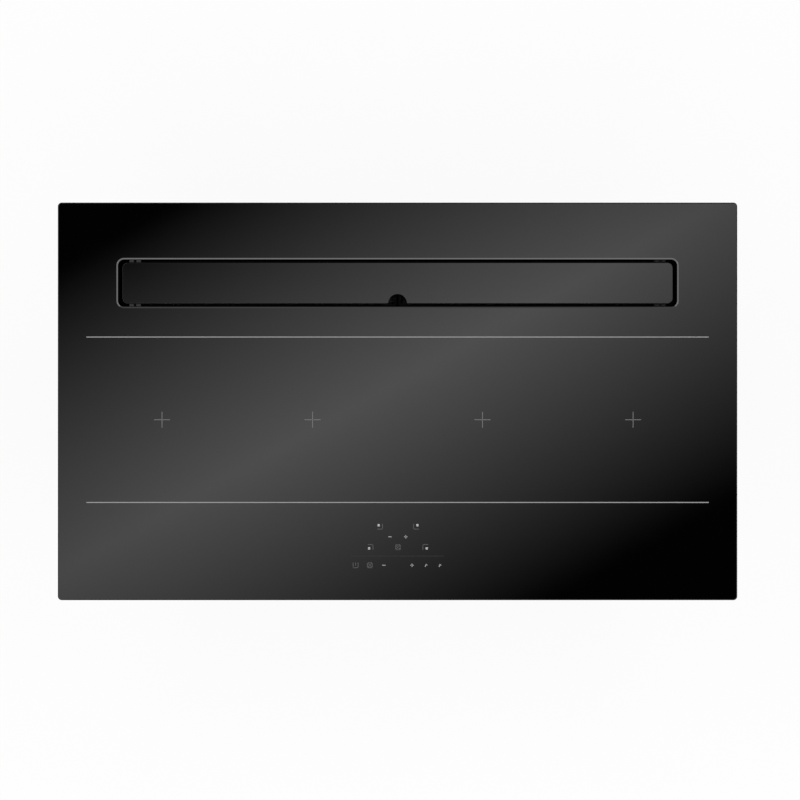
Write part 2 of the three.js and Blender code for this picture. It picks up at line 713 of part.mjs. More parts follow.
function heatsink() {
  const pitch = (SINK_W - FIN_T) / (SINK_FINS - 1);
  const points = [
    [-SINK_W / 2, 0],
    [SINK_W / 2, 0],
  ];
  for (let i = SINK_FINS - 1; i >= 0; i -= 1) {
    const x = -SINK_W / 2 + i * pitch;
    if (i < SINK_FINS - 1) points.push([x + FIN_T, SINK_BASE]);
    points.push([x + FIN_T, SINK_H], [x, SINK_H]);
    if (i > 0) points.push([x, SINK_BASE]);
  }
  const outline = new THREE.Shape(points.map(([x, z]) => new THREE.Vector2(x, z)));
  return profileAlongY(outline, POWER_D - 2 * COMPONENT_EDGE);
}

// The plastic frame under the touch field, on two legs that stand on the tray's floor.
function touchHolder() {
  const zRim = zUnderGlass - TOUCH_RIM_H;
  const pan = cut(
    slab(TOUCH_W, TOUCH_D, zRim, zUnderGlass),
    slab(TOUCH_W - 2 * TOUCH_WALL, TOUCH_D - 2 * TOUCH_WALL, zRim + TOUCH_WALL, zUnderGlass + OVER),
  );
  const legX = TOUCH_W / 2 - TOUCH_LEG / 2;
  const legs = [-legX, legX].map((x) =>
    slab(TOUCH_LEG, TOUCH_LEG, zOnFloor, zRim + TOUCH_WALL / 2).translate(x, 0, 0),
  );
  return join(pan, ...legs);
}

add(cooktop, "base_tray", baseTray(), galvanised);
for (const [side, sign] of sides) {
  const bay = group(cooktop, sign * POWER_X, powerY, zOnFloor);
  add(bay, `power_board_${side}`, circuitBoard(POWER_W, POWER_D, powerParts(sign)), greenBoard);
  const sink = add(bay, `heatsink_${side}`, heatsink(), aluminium);
  const sinkX = sign * (POWER_W / 2 - COMPONENT_EDGE / 2 - SINK_W / 2);
  sink.position.set(sinkX, 0, BOARD_STANDOFF + BOARD_T + GAP);

  const fan = group(cooktop, sign * fanX, fanY, zOnFloor);
  add(fan, `fan_housing_${side}`, fanHousing(), blackPlastic);
  const rotor = add(fan, `fan_rotor_${side}`, fanRotor(), greyPlastic);
  rotor.position.z = FAN_H - FAN_WALL - FAN_TOP_CLEAR;
}
const mainsParts = [
  [-MAINS_W / 4, MAINS_D / 4, MAINS_PART, MAINS_PART, MAINS_CHOKE_H],
  [MAINS_W / 4, MAINS_D / 4, MAINS_PART, MAINS_PART, CAPACITOR_H],
  [0, -MAINS_D / 4, MAINS_W / 2, RELAY_D, RELAY_H],
];
const mainsBoard = circuitBoard(MAINS_W, MAINS_D, mainsParts);
add(cooktop, "mains_board", mainsBoard, greenBoard).position.set(0, powerY, zOnFloor);
const touch = group(cooktop, 0, touchY);
add(touch, "touch_holder", touchHolder(), blackPlastic);
const touchBoard = slab(
  TOUCH_W - 2 * (TOUCH_WALL + GAP),
  TOUCH_D - 2 * (TOUCH_WALL + GAP),
  0,
  BOARD_T,
);
add(touch, "touch_board", touchBoard, greenBoard).position.z =
  zUnderGlass - TOUCH_RIM_H + TOUCH_WALL + GAP;

// ---------------------------------------------------------------------------- plenum and drip tray
function plenumBox() {
  const shell = cut(
    slab(plenumW, plenumD, 0, plenumH),
    slab(plenumW - 2 * PLENUM_WALL, plenumD - 2 * PLENUM_WALL, PLENUM_WALL, plenumH + OVER),
    slab(DRIP_W - 2 * DRIP_LEDGE, DRIP_D - 2 * DRIP_LEDGE, -OVER, plenumH),
  );
  const port = block([-PORT_W / 2, PORT_W / 2], [-plenumD, 0], [zPort - zPlenum, zPort - zPlenum + portH]);
  return cut(shell, port);
}

function dripTray() {
  return cut(
    plate(DRIP_W, DRIP_D, SLOT_R, 0, DRIP_H),
    plate(DRIP_W - 2 * DRIP_WALL, DRIP_D - 2 * DRIP_WALL, SLOT_R - DRIP_WALL, DRIP_WALL, DRIP_H + OVER),
  );
}

const plenum = group(cooktop, 0, slotY, zPlenum);
add(plenum, "plenum_box", plenumBox(), galvanised);
add(plenum, "drip_tray", dripTray(), greyPlastic).position.z = -GAP - DRIP_H;

// ------------------------------------------------------------------------------------------ blower
function blowerBox() {
  const shell = cut(
    slab(boxW, boxD, 0, boxH),
    slab(boxW - 2 * BOX_WALL, boxD - 2 * BOX_WALL, BOX_WALL, boxH + OVER),
  );
  const port = block([-PORT_W / 2, PORT_W / 2], [0, boxD], [zPort - zBox, zPort - zBox + portH]);
  const outlet = block(
    [0, boxW],
    [ductY - boxY - ductInW / 2, ductY - boxY + ductInW / 2],
    [zDuct - zBox - ductInH / 2, zDuct - zBox + ductInH / 2],
  );
  const tabs = [-1, 1].flatMap((signX) =>
    [-1, 1].map((signY) =>
      slab(TAB_W + BOX_WALL, TAB_L, boxH - BOX_WALL, boxH).translate(
        signX * (boxW / 2 + (TAB_W - BOX_WALL) / 2),
        (signY * boxD) / 4,
        0,
      ),
    ),
  );
  return join(cut(shell, port, outlet), ...tabs);
}

// The scroll's outline about the impeller's axis, grown outwards by wall: the spiral from the tongue
// round to the front, then the passage that widens to the outlet. A wall's outline leaves the spiral
// one step after the tongue, which makes the tongue solid.
function scrollOutline(wall, end) {
  const shape = new THREE.Shape();
  const place = (i) => {
    const turn = tongueTurn + ((scrollEndTurn - tongueTurn) * i) / SCROLL_STEPS;
    const r = scrollR(turn) + wall;
    return [r * Math.cos(turn), r * Math.sin(turn)];
  };
  const start = wall > 0 ? 1 : 0;
  shape.moveTo(...place(start));
  for (let i = start + 1; i <= SCROLL_STEPS; i += 1) shape.lineTo(...place(i));
  const front = -scrollR(scrollEndTurn);
  const [tongueX, tongueY] = place(0);
  const slope = (front + ductInW - tongueY) / (OUTLET_RUN - tongueX);
  return shape
    .lineTo(OUTLET_RUN + end, front - wall)
    .lineTo(OUTLET_RUN + end, front + ductInW + wall + slope * end);
}

function scrollFull() {
  const zRoof = SCROLL_WALL + scrollInH;
  const eye = rod(INLET_R, scrollH / 2, scrollH + OVER, ROUND_SIDES);
  const lip = cut(
    rod(INLET_R + SCROLL_WALL, zRoof + SCROLL_WALL / 2, scrollH + INLET_LIP_H, ROUND_SIDES),
    rod(INLET_R, 0, scrollH + 2 * INLET_LIP_H, ROUND_SIDES),
  );
  const shell = cut(
    prism(scrollOutline(SCROLL_WALL, 0), 0, scrollH),
    prism(scrollOutline(0, OVER), SCROLL_WALL, zRoof),
    eye,
  );
  return join(shell, lip);
}

// The scroll parts at half its height.
function scrollHalf(upper) {
  const zSplit = scrollH / 2;
  const far = 2 * OUTLET_RUN;
  const other = upper ? [-OVER, zSplit + GAP / 2] : [zSplit - GAP / 2, 2 * scrollH];
  return cut(scrollFull(), slab(2 * far, 2 * far, ...other));
}

const zMotorTop = GAP + MOTOR_H;

function blowerMotor() {
  const body = join(
    rod(MOTOR_R, 0, MOTOR_H, ROUND_SIDES),
    rod(MOTOR_FOOT_R, 0, MOTOR_FOOT_T, ROUND_SIDES),
  );
  return cut(body, rod(SHAFT_R + GAP, MOTOR_H - SHAFT_IN_MOTOR, MOTOR_H + OVER));
}

// The impeller's plate rises as a cup over the motor and ends in the hub.
function impeller() {
  const cupR = MOTOR_R + MOTOR_CLEAR;
  const cupTop = zMotorTop + MOTOR_CLEAR - IMPELLER_BASE + WHEEL_PLATE_T;
  const cup = cut(
    rod(cupR + WHEEL_PLATE_T, 0, cupTop, ROUND_SIDES),
    rod(cupR, -OVER, cupTop - WHEEL_PLATE_T, ROUND_SIDES),
  );
  const hub = rod(HUB_R, cupTop - WHEEL_PLATE_T, cupTop + HUB_H);
  const boreR = cupR + WHEEL_PLATE_T / 2;
  const wheel = bladeWheel(IMPELLER_R, IMPELLER_EYE_R, boreR, IMPELLER_H, IMPELLER_BLADES);
  return cut(join(wheel, cup, hub), rod(SHAFT_R + GAP, 0, cupTop + HUB_H + OVER));
}

const blowerCase = group(cooktop, 0, boxY, zBox);
add(blowerCase, "blower_box", blowerBox(), galvanised);
const blower = group(cooktop, axisX, axisY, zScroll);
add(blower, "scroll_lower", scrollHalf(false), blackPlastic);
add(blower, "scroll_upper", scrollHalf(true), blackPlastic);
const spindle = group(blower, 0, 0, SCROLL_WALL);
add(spindle, "blower_motor", blowerMotor(), galvanised).position.z = GAP;
const shaftFoot = zMotorTop - SHAFT_IN_MOTOR + GAP;
const shaftTop = zMotorTop + MOTOR_CLEAR + WHEEL_PLATE_T + HUB_H + GAP;
add(spindle, "motor_shaft", rod(SHAFT_R, shaftFoot, shaftTop), stainless);
add(spindle, "impeller", impeller(), greyPlastic).position.z = IMPELLER_BASE;

// --------------------------------------------------------------------------- duct collar and damper
const damperZ = ductInH / 2 - DAMPER_DROP;

// A rod along Y through the damper's axis.
const damperRod = (r, length) =>
  rod(r, -length / 2, length / 2).rotateX(Math.PI / 2).translate(DAMPER_X, 0, damperZ);

function outletCollar() {
  const flange = block(
    [0, DUCT_FLANGE_T],
    [-DUCT_W / 2 - DUCT_FLANGE, DUCT_W / 2 + DUCT_FLANGE],
    [-DUCT_H / 2 - DUCT_LIFT, DUCT_H / 2 + DUCT_FLANGE],
  );
  const tube = block([0, DUCT_LENGTH], [-DUCT_W / 2, DUCT_W / 2], [-DUCT_H / 2, DUCT_H / 2]);
  const inside = block(
    [-OVER, DUCT_LENGTH + OVER],
    [-ductInW / 2, ductInW / 2],
    [-ductInH / 2, ductInH / 2],
  );
  return cut(join(flange, tube), inside, damperRod(DAMPER_PIN_R + GAP, DUCT_W + 2 * OVER));
}

function damperFlap() {
  const w = ductInW - 2 * DAMPER_CLEAR;
  const leaf = block(
    [DAMPER_X - DAMPER_T / 2, DAMPER_X + DAMPER_T / 2],
    [-w / 2, w / 2],
    [-ductInH / 2 + DAMPER_CLEAR, damperZ],
  );
  return cut(join(leaf, damperRod(DAMPER_BARREL_R, w)), damperRod(DAMPER_PIN_R + GAP, w + 2 * OVER));
}

const outlet = group(cooktop, boxW / 2 + GAP, ductY, zDuct);
add(outlet, "outlet_collar", outletCollar(), blackPlastic);
add(outlet, "damper_flap", damperFlap(), aluminium);
add(outlet, "damper_pin", damperRod(DAMPER_PIN_R, DUCT_W), stainless);

// ------------------------------------------------------------------------------------------ supply
function terminalBox() {
  const shell = cut(
    slab(TERMINAL_W, TERMINAL_D, -TERMINAL_H, 0),
    slab(
      TERMINAL_W - 2 * TERMINAL_WALL,
      TERMINAL_D - 2 * TERMINAL_WALL,
      -TERMINAL_H + TERMINAL_WALL,
      OVER,
    ),
  );
  return cut(shell, alongX(GLAND_R + GAP, -TERMINAL_W, 0));
}

// A rod of the gland, along X at half the terminal box's height.
const alongX = (r, x0, x1, count = SMALL_SIDES) =>
  rod(r, x0, x1, count).rotateY(Math.PI / 2).translate(0, 0, -TERMINAL_H / 2);

function cableGland() {
  const face = -TERMINAL_W / 2 - GAP;
  const barrel = alongX(GLAND_R, face - GLAND_NUT_T, -TERMINAL_W / 2 + GLAND_NUT_T);
  const nut = alongX(GLAND_NUT_R, face - GLAND_NUT_T, face, 6);
  return cut(join(barrel, nut), alongX(GLAND_BORE_R, -TERMINAL_W, 0));
}

const supply = group(cooktop, TERMINAL_X, terminalY, zUnderTray);
add(supply, "terminal_box", terminalBox(), blackPlastic);
add(supply, "cable_gland", cableGland(), greyPlastic);

// ---------------------------------------------------------------------------------- worktop clamps
// An arm on a vertical screw. Folded in it points along the tray's side, and swung out it reaches under
// the worktop, where the jack screw at its tip presses.
function clampArm() {
  const zArm = -CLAMP_DROP - CLAMP_T;
  const arm = block([-CLAMP_W / 2, CLAMP_W / 2], [-CLAMP_W / 2, CLAMP_L], [zArm, zArm + CLAMP_T]);
  const boss = rod(CLAMP_BOSS_R, zArm, 0);
  const jack = rod(JACK_R, zArm - JACK_DOWN, -JACK_R).translate(0, CLAMP_L - CLAMP_W / 2, 0);
  return cut(join(arm, boss, jack), rod(CLAMP_SCREW_R + GAP, zArm - OVER, OVER));
}

function clampScrew() {
  const zHead = -CLAMP_DROP - CLAMP_T - GAP;
  return join(
    rod(CLAMP_SCREW_R, zHead - CLAMP_HEAD_T / 2, 0),
    rod(CLAMP_HEAD_R, zHead - CLAMP_HEAD_T, zHead, 6),
  );
}

for (const [place, sideX, sideY] of corners) {
  const x = sideX * (trayW / 2 - CLAMP_INSET);
  const clamp = group(cooktop, x, sideY * (trayD / 2 - CLAMP_END_INSET), zUnderTray);
  clamp.rotation.z = sideY < 0 ? 0 : Math.PI;
  add(clamp, `clamp_screw_${place}`, clampScrew(), zincSteel);
  add(clamp, `clamp_arm_${place}`, clampArm(), zincSteel);
}

export default cooktop;
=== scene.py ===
# A downdraft induction cooktop: the looks of every piece, put together in the order of its
# assembly. Metres. +X is to the cook's right, +Y to the rear, +Z up.
import math
from functools import partial

import bpy
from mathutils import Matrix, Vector


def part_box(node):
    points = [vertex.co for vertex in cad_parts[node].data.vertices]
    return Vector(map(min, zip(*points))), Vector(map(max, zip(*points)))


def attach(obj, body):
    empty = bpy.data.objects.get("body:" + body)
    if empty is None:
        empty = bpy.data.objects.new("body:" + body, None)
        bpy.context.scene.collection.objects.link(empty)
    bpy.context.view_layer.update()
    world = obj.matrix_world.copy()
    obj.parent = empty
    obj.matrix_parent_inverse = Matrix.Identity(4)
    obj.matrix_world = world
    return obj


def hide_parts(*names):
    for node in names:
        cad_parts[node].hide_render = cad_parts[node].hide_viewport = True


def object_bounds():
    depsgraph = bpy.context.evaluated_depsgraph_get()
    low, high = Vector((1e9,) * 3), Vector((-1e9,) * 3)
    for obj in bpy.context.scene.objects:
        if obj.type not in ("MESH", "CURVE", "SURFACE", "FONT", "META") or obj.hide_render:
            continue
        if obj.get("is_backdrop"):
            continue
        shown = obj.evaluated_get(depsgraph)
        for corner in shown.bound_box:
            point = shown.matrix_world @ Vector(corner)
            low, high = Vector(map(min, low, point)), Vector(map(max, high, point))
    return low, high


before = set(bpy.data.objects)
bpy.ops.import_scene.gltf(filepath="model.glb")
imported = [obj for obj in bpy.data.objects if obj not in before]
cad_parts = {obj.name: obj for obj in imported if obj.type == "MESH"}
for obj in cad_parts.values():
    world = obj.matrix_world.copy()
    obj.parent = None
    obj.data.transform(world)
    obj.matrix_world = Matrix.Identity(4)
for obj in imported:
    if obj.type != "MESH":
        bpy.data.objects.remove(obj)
cad_low, cad_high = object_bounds()
MM = 0.001

# ---- Camera, light and floor
# A long lens looks straight down on the glass. The picture is 800 pixels wide, and the middle of
# the glass lies a little left of and below its centre.
PIXEL = 1.295 * MM
PICTURE_PIXELS = 800
GLASS_MIDDLE_PIXEL = (397.55, 401.36)
LENS_MM = 200
SENSOR_MM = 36


def placed(name, data):
    """A new object of that data, in the scene."""
    made = bpy.data.objects.new(name, data)
    bpy.context.scene.collection.objects.link(made)
    return made


glass_low, glass_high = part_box("glass_top")
camera_data = bpy.data.cameras.new("camera")
camera_data.lens = LENS_MM
camera_data.sensor_width = SENSOR_MM
camera = placed("camera", camera_data)
camera_height = PICTURE_PIXELS * PIXEL * LENS_MM / SENSOR_MM
camera.location = (
    (PICTURE_PIXELS / 2 - GLASS_MIDDLE_PIXEL[0]) * PIXEL,
    (GLASS_MIDDLE_PIXEL[1] - PICTURE_PIXELS / 2) * PIXEL,
    glass_high.z + camera_height,
)
bpy.context.scene.camera = camera
bpy.context.scene.view_settings.view_transform = "Standard"


def srgb(colour):
    """A hex colour such as 0x8A8D90 as linear red, green, blue and a full alpha."""
    parts = [((colour >> shift) & 255) / 255 for shift in (16, 8, 0)]
    return (*[p / 12.92 if p <= 0.04045 else ((p + 0.055) / 1.055) ** 2.4 for p in parts], 1)


def add_node(tree, kind, inputs=None, into=None, output=None, **settings):
    """Adds a node with its settings and its inputs, which are constants or other nodes' outputs.
    Gives the output of that name, or else the first in use, led into the shader where asked."""
    node = tree.nodes.new("ShaderNode" + kind)
    for name, value in settings.items():
        setattr(node, name, value)
    for socket, value in (inputs or {}).items():
        if isinstance(value, bpy.types.NodeSocket):
            tree.links.new(value, node.inputs[socket])
        else:
            node.inputs[socket].default_value = value
    in_use = (socket for socket in node.outputs if socket.enabled)
    used = node.outputs[output] if output else next(in_use, None)
    if into:
        tree.links.new(used, tree.nodes["Principled BSDF"].inputs[into])
    return used


# The sky is an even pale grey.
SKY_STRENGTH = 0.42
world = bpy.data.worlds.new("studio")
bpy.context.scene.world = world
world.use_nodes = True
sky = world.node_tree.nodes["Background"].inputs
sky["Color"].default_value = srgb(0xFFFFFF)
sky["Strength"].default_value = SKY_STRENGTH

# A ring of soft boxes, the rear one weak. The slot's chamfer leans 25 degrees and mirrors them:
# its left end shows the boxes on the right, and its right end those on the left. So they hang
# about 46 degrees from the zenith of the end that they face, side by side as that end sees them.
BEARINGS = (0, 40, 90, 140, 180, 220, 270, 320)
WIDE_BOX = 1.62
NARROW_BOX = 1.18
BOX_HEIGHT = 0.5
BOX_DISTANCE = 2.6
BOX_ZENITH = math.radians(46)
BOX_RADIANCE = 3.3
REAR_RADIANCE = 0.75


def middle_of(node):
    """The middle of a CAD node's box."""
    low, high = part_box(node)
    return (low + high) / 2


slot_low, slot_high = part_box("cover_glass")
slot_middle = middle_of("cover_glass")
for bearing in BEARINGS:
    lamp = bpy.data.lights.new(f"soft_box_{bearing}", "AREA")
    lamp.shape = "RECTANGLE"
    lamp.size = WIDE_BOX if bearing % 90 == 0 else NARROW_BOX
    lamp.size_y = BOX_HEIGHT
    radiance = REAR_RADIANCE if bearing == 90 else BOX_RADIANCE
    lamp.energy = radiance * math.pi * lamp.size * lamp.size_y
    soft_box = placed(f"soft_box_{bearing}", lamp)
    turn = math.radians(bearing)
    flat = math.sin(BOX_ZENITH)
    away = Vector((math.cos(turn) * flat, math.sin(turn) * flat, math.cos(BOX_ZENITH)))
    faced_end = Vector((-round(math.cos(turn)) * slot_high.x, slot_middle.y, slot_middle.z))
    soft_box.location = faced_end + away * BOX_DISTANCE
    soft_box.rotation_euler = away.to_track_quat("Z", "Y").to_euler()
    soft_box.visible_camera = False

# A large card hangs over the glass and is seen only in reflections: a bright ridge crosses it from
# the front left to the rear right, dims a little towards its ends, and fades to black beside it.
CARD_HEIGHT = 3.0
CARD_SIZE = 2.6
RIDGE_RADIANCE = 1.9
RIDGE_NORMAL = (0.491, -0.871, 0)
RIDGE_COURSE = (0.871, 0.491, 0)
RIDGE_OFFSET = 21.7 * MM
RIDGE_DIM = 1190 * MM
REAR_FADE = 345 * MM
REAR_POWER = 1.235
FRONT_FADE = 348 * MM
FRONT_POWER = 1.4


def start(name, primitive, stretch=(1, 1, 1), **sizes):
    """Adds a primitive, nothing else selected, and moves its place and stretch into its mesh."""
    bpy.ops.object.select_all(action="DESELECT")
    primitive(**sizes)
    bpy.context.object.scale = stretch
    bpy.ops.object.transform_apply()
    bpy.context.object.name = name
    return bpy.context.object


def studio_sheet(name, size, height, paint_name, *unseen_by):
    """A level sheet of the studio that some rays don't see. Gives what adds its paint's nodes."""
    sheet = start(name, bpy.ops.mesh.primitive_plane_add, size=size, location=(0, 0, height))
    for ray in unseen_by:
        setattr(sheet, f"visible_{ray}", False)
    paint = bpy.data.materials.new(paint_name)
    paint.use_nodes = True
    paint.node_tree.nodes.clear()
    sheet.data.materials.append(paint)
    sheet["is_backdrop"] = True
    return partial(add_node, paint.node_tree)


unseen_by = ("camera", "diffuse", "transmission", "shadow")
add = studio_sheet("overhead_card", CARD_SIZE, CARD_HEIGHT, "graded white card", *unseen_by)
card_scale = 1 + CARD_HEIGHT / camera_height
place = add("TexCoord", output="Object")
across = add("VectorMath", {0: place, 1: RIDGE_NORMAL}, operation="DOT_PRODUCT")
offset = {0: across, 1: 1 / card_scale, 2: RIDGE_OFFSET}
from_ridge = add("Math", offset, operation="MULTIPLY_ADD")
fades = []
for reach, power in ((-REAR_FADE, REAR_POWER), (FRONT_FADE, FRONT_POWER)):
    fade = add("MapRange", {"Value": from_ridge, "From Min": reach, "From Max": 0})
    fades.append(add("Math", {0: fade, 1: power}, operation="POWER"))
curve = add("Math", {0: fades[0], 1: fades[1]}, operation="MINIMUM")
course = add("VectorMath", {0: place, 1: RIDGE_COURSE}, operation="DOT_PRODUCT")
along = add("Math", {0: course, 1: 1 / (card_scale * RIDGE_DIM)}, operation="MULTIPLY")
square = add("Math", {0: along, 1: along}, operation="MULTIPLY")
kept = add("Math", {0: 1.0, 1: square}, operation="SUBTRACT")
dimmed = add("Math", {0: curve, 1: kept}, operation="MULTIPLY")
glow = add("Math", {0: dimmed, 1: RIDGE_RADIANCE}, operation="MULTIPLY")
shine = add("Emission", {"Strength": glow})
add("OutputMaterial", {"Surface": shine})

# A white floor under the case. Seen directly or in a mirror it shows mostly its own white, and it
# keeps the object's shadow. From below it is clear. It lies low enough for the drip tray to drop.
FLOOR_SIZE = 40
FLOOR_DROP = 62 * MM
FLOOR_OWN_WHITE = 0.9
add = studio_sheet("floor", FLOOR_SIZE, cad_low.z - FLOOR_DROP, "matt white paint")
lit = add("BsdfDiffuse", {"Color": srgb(0xFAFAFA)})
own = add("Emission", {"Strength": 1.0})
rays = add("LightPath").node.outputs
seen = add("Math", {0: rays["Is Camera Ray"], 1: rays["Is Glossy Ray"]}, operation="MAXIMUM")
seen = add("Math", {0: seen, 1: rays["Is Transmission Ray"]}, operation="MAXIMUM")
share = add("Math", {0: seen, 1: FLOOR_OWN_WHITE}, operation="MULTIPLY")
white = add("MixShader", {0: share, 1: lit, 2: own})
clear = add("BsdfTransparent")
back = add("NewGeometry", output="Backfacing")
one_sided = add("MixShader", {0: back, 1: white, 2: clear})
add("OutputMaterial", {"Surface": one_sided})

# ---- Glass top
# One plate of black glass ceramic, 4 mm thick with its print. Its outer edge is ground round and
# left matt, and the edge of the suction slot is cut to a flat polished chamfer.
GLASS_CORNER = 5 * MM
GLASS_EDGE = 1.3 * MM
LEVEL_FACE = 0.999
SLOT_GAP_SIDE = 4.4 * MM
SLOT_GAP_END = 5.95 * MM
SLOT_CORNER = 9.75 * MM
CHAMFER_WIDTH = 1.75 * MM
CHAMFER_DEPTH = 0.8 * MM
CUTTER_RISE = 0.2 * MM
CUTTER_TOP = 2 * MM
CUTTER_DEPTH = 10 * MM
PRINT_THICKNESS = 0.03 * MM
CORNER_STEPS = 12


def only(piece):
    """Makes one piece the only one selected, and the active one."""
    bpy.ops.object.select_all(action="DESELECT")
    piece.select_set(True)
    bpy.context.view_layer.objects.active = piece


def pick(piece, kind, test):
    """Enters edit mode with the FACEs or EDGEs selected whose middle and direction pass a test."""
    only(piece)
    bpy.ops.object.mode_set(mode="EDIT")
    bpy.ops.mesh.select_mode(type=kind)
    bpy.ops.mesh.select_all(action="DESELECT")
    bpy.ops.object.mode_set(mode="OBJECT")
    mesh = piece.data
    if kind == "FACE":
        for face in mesh.polygons:
            face.select = test(face.center, face.normal)
    else:
        for edge in mesh.edges:
            a, b = (mesh.vertices[i].co for i in edge.vertices)
            edge.select = test((a + b) / 2, (b - a).normalized())
    bpy.ops.object.mode_set(mode="EDIT")


STRAIGHT = 0.99


def runs(axis):
    """A test for edges that run along an axis: 0 for X, 1 for Y, 2 for Z."""
    return lambda middle, along: abs(along[axis]) > STRAIGHT


def crosses(axis):
    """A test for edges that run square to an axis."""
    return lambda middle, along: abs(along[axis]) < 1 - STRAIGHT


level, upright = crosses(2), runs(2)


def ease(piece, width, test=level, steps=3):
    """Rounds the edges that pass the test."""
    pick(piece, "EDGE", test)
    bpy.ops.mesh.bevel(offset=width, segments=steps, affect="EDGES")
    bpy.ops.object.mode_set(mode="OBJECT")


def slab(name, low, high):
    """A block between two corners."""
    low, high = Vector(low), Vector(high)
    middle = (low + high) / 2
    return start(name, bpy.ops.mesh.primitive_cube_add, size=1, location=middle, scale=high - low)


def block(name, low, high, corner, steps=CORNER_STEPS):
    """A slab with its four upright edges rounded."""
    piece = slab(name, low, high)
    ease(piece, corner, upright, steps)
    return piece


def inwards(reach, rise=0):
    """A step from a low corner: as far along X as along Y, and a rise."""
    return Vector((reach, reach, rise))


def carve(piece, *tools, operation="DIFFERENCE"):
    """Cuts the tools out of the piece, or joins them on, and removes the tools."""
    for tool in tools:
        only(piece)
        modifier = piece.modifiers.new("carve", "BOOLEAN")
        modifier.operation = operation
        modifier.solver = "EXACT"
        modifier.object = tool
        bpy.ops.object.modifier_apply(modifier=modifier.name)
        bpy.data.objects.remove(tool)


def material(name, colour, roughness, metallic=0, sockets=None):
    """A material of one shader. Gives it, what adds its nodes, and the place on a piece."""
    made = bpy.data.materials.new(name)
    made.use_nodes = True
    values = {"Base Color": srgb(colour), "Roughness": roughness, "Metallic": metallic}
    for socket, value in (values | (sockets or {})).items():
        made.node_tree.nodes["Principled BSDF"].inputs[socket].default_value = value
    add = partial(add_node, made.node_tree)
    return made, add, add("TexCoord", output="Object")


# Polished glass ceramic: a mirror over black, with the faint haze of wiping.
WIPE_SIZE = 60 * MM
index = {"IOR": 1.5}
black_glass, add, place = material("polished black glass ceramic", 0x020202, 0.03, sockets=index)
haze = add("TexNoise", {"Vector": place, "Scale": 1 / WIPE_SIZE})
add("MapRange", {"Value": haze, "To Min": 0.01, "To Max": 0.06}, "Roughness")

# Ground glass: black still, but matt, with the grain of the wheel.
GRIND_GRAIN = 0.4 * MM
dull = {"Specular IOR Level": 0.2}
ground_glass, add, place = material("ground glass edge", 0x08090A, 0.5, sockets=dull)
grain = add("TexNoise", {"Vector": place, "Scale": 1 / GRIND_GRAIN})
add("Bump", {"Height": grain, "Distance": 0.03 * MM}, "Normal")


def dress(piece, body, slot_name, paint, *nodes, turn=35):
    """Shades a finished piece smoothly over edges that turn less than so many degrees and keeps its
    large faces flat. Gives it its material, its body and the nodes that it stands for; its slot
    name is not used."""
    if turn:
        only(piece)
        bpy.ops.object.shade_smooth_by_angle(angle=math.radians(turn))
        modifier = piece.modifiers.new("flat faces", "WEIGHTED_NORMAL")
        modifier.keep_sharp = True
        bpy.ops.object.modifier_apply(modifier=modifier.name)
    if paint:
        piece.data.materials.clear()
        piece.data.materials.append(paint)
    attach(piece, body)
    if nodes:
        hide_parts(*nodes)


glass_face = glass_high - inwards(0, PRINT_THICKNESS)
glass = block("glass_plate", glass_low, glass_face, GLASS_CORNER)
ease(glass, GLASS_EDGE, level, 5)
cutter_width = CHAMFER_WIDTH * (1 + CUTTER_RISE / CHAMFER_DEPTH)
cutter_corner = SLOT_CORNER + cutter_width - CHAMFER_WIDTH
cutter_foot = glass_face.z + CUTTER_RISE
slot_reach = Vector((SLOT_GAP_END + cutter_width, SLOT_GAP_SIDE + cutter_width, 0))
cutter = block(
    "slot_cutter",
    Vector((*slot_low.xy, cutter_foot)) - slot_reach,
    Vector((*slot_high.xy, cutter_foot + CUTTER_TOP)) + slot_reach,
    cutter_corner,
)
pick(cutter, "FACE", lambda centre, normal: normal.z < -STRAIGHT)
bpy.ops.mesh.inset(thickness=cutter_width, depth=CHAMFER_DEPTH + CUTTER_RISE)
bpy.ops.mesh.extrude_region_move(TRANSFORM_OT_translate={"value": (0, 0, -CUTTER_DEPTH)})
bpy.ops.object.mode_set(mode="OBJECT")
carve(glass, cutter)
glass.data.materials.append(black_glass)
glass.data.materials.append(ground_glass)
for face in glass.data.polygons:
    middle = face.center
    outside = abs(middle.x) > glass_high.x - GLASS_EDGE or abs(middle.y) > glass_high.y - GLASS_EDGE
    face.material_index = 1 if outside and abs(face.normal.z) < LEVEL_FACE else 0
dress(glass, "case", "black_glass", None, "glass_top", turn=20)

# ---- Printed marks
# Grey enamel, screen-printed on the glass and fired, a few hundredths thick: two fine lines across
# the cooking field, a cross at the middle of each zone, and the symbols of the touch fields. Their
# places and sizes are in millimetres.
LINE_HALF_LENGTH = 402.5
LINE_WIDTH = 1.15
LINE_PLACES = (83.3, -130.9)
CROSS_SPAN = 20
CROSS_WIDTH = 0.75
STROKE_ROUND = 0.45
ENAMEL_GRAIN = 1.5 * MM


def enamel_print(name, dark, light):
    """Fired print: matt, and a little uneven in its cover."""
    made, add, place = material(name, light, 0.5, sockets={"IOR": 1.5})
    cover = add("TexNoise", {"Vector": place, "Scale": 1 / ENAMEL_GRAIN})
    add("MixRGB", {"Fac": cover, "Color1": srgb(dark), "Color2": srgb(light)}, "Base Color")
    return made


line_print = enamel_print("fired grey enamel", 0x8E8E8E, 0x9E9E9E)
thin_print = enamel_print("thin fired grey enamel", 0x6C6C6C, 0x7E7E7E)
fine_print = enamel_print("finely rastered grey enamel", 0x474747, 0x555555)
bright_print = enamel_print("thick fired light grey enamel", 0xBCBCBC, 0xCCCCCC)
ghost_print = enamel_print("very thin fired grey enamel", 0x101010, 0x161616)


def joined(name, pieces):
    """Joins pieces into one of that name."""
    bpy.context.view_layer.update()
    only(pieces[0])
    if len(pieces) > 1:
        for piece in pieces[1:]:
            piece.select_set(True)
        bpy.ops.object.join()
    bpy.context.object.name = name
    return bpy.context.object


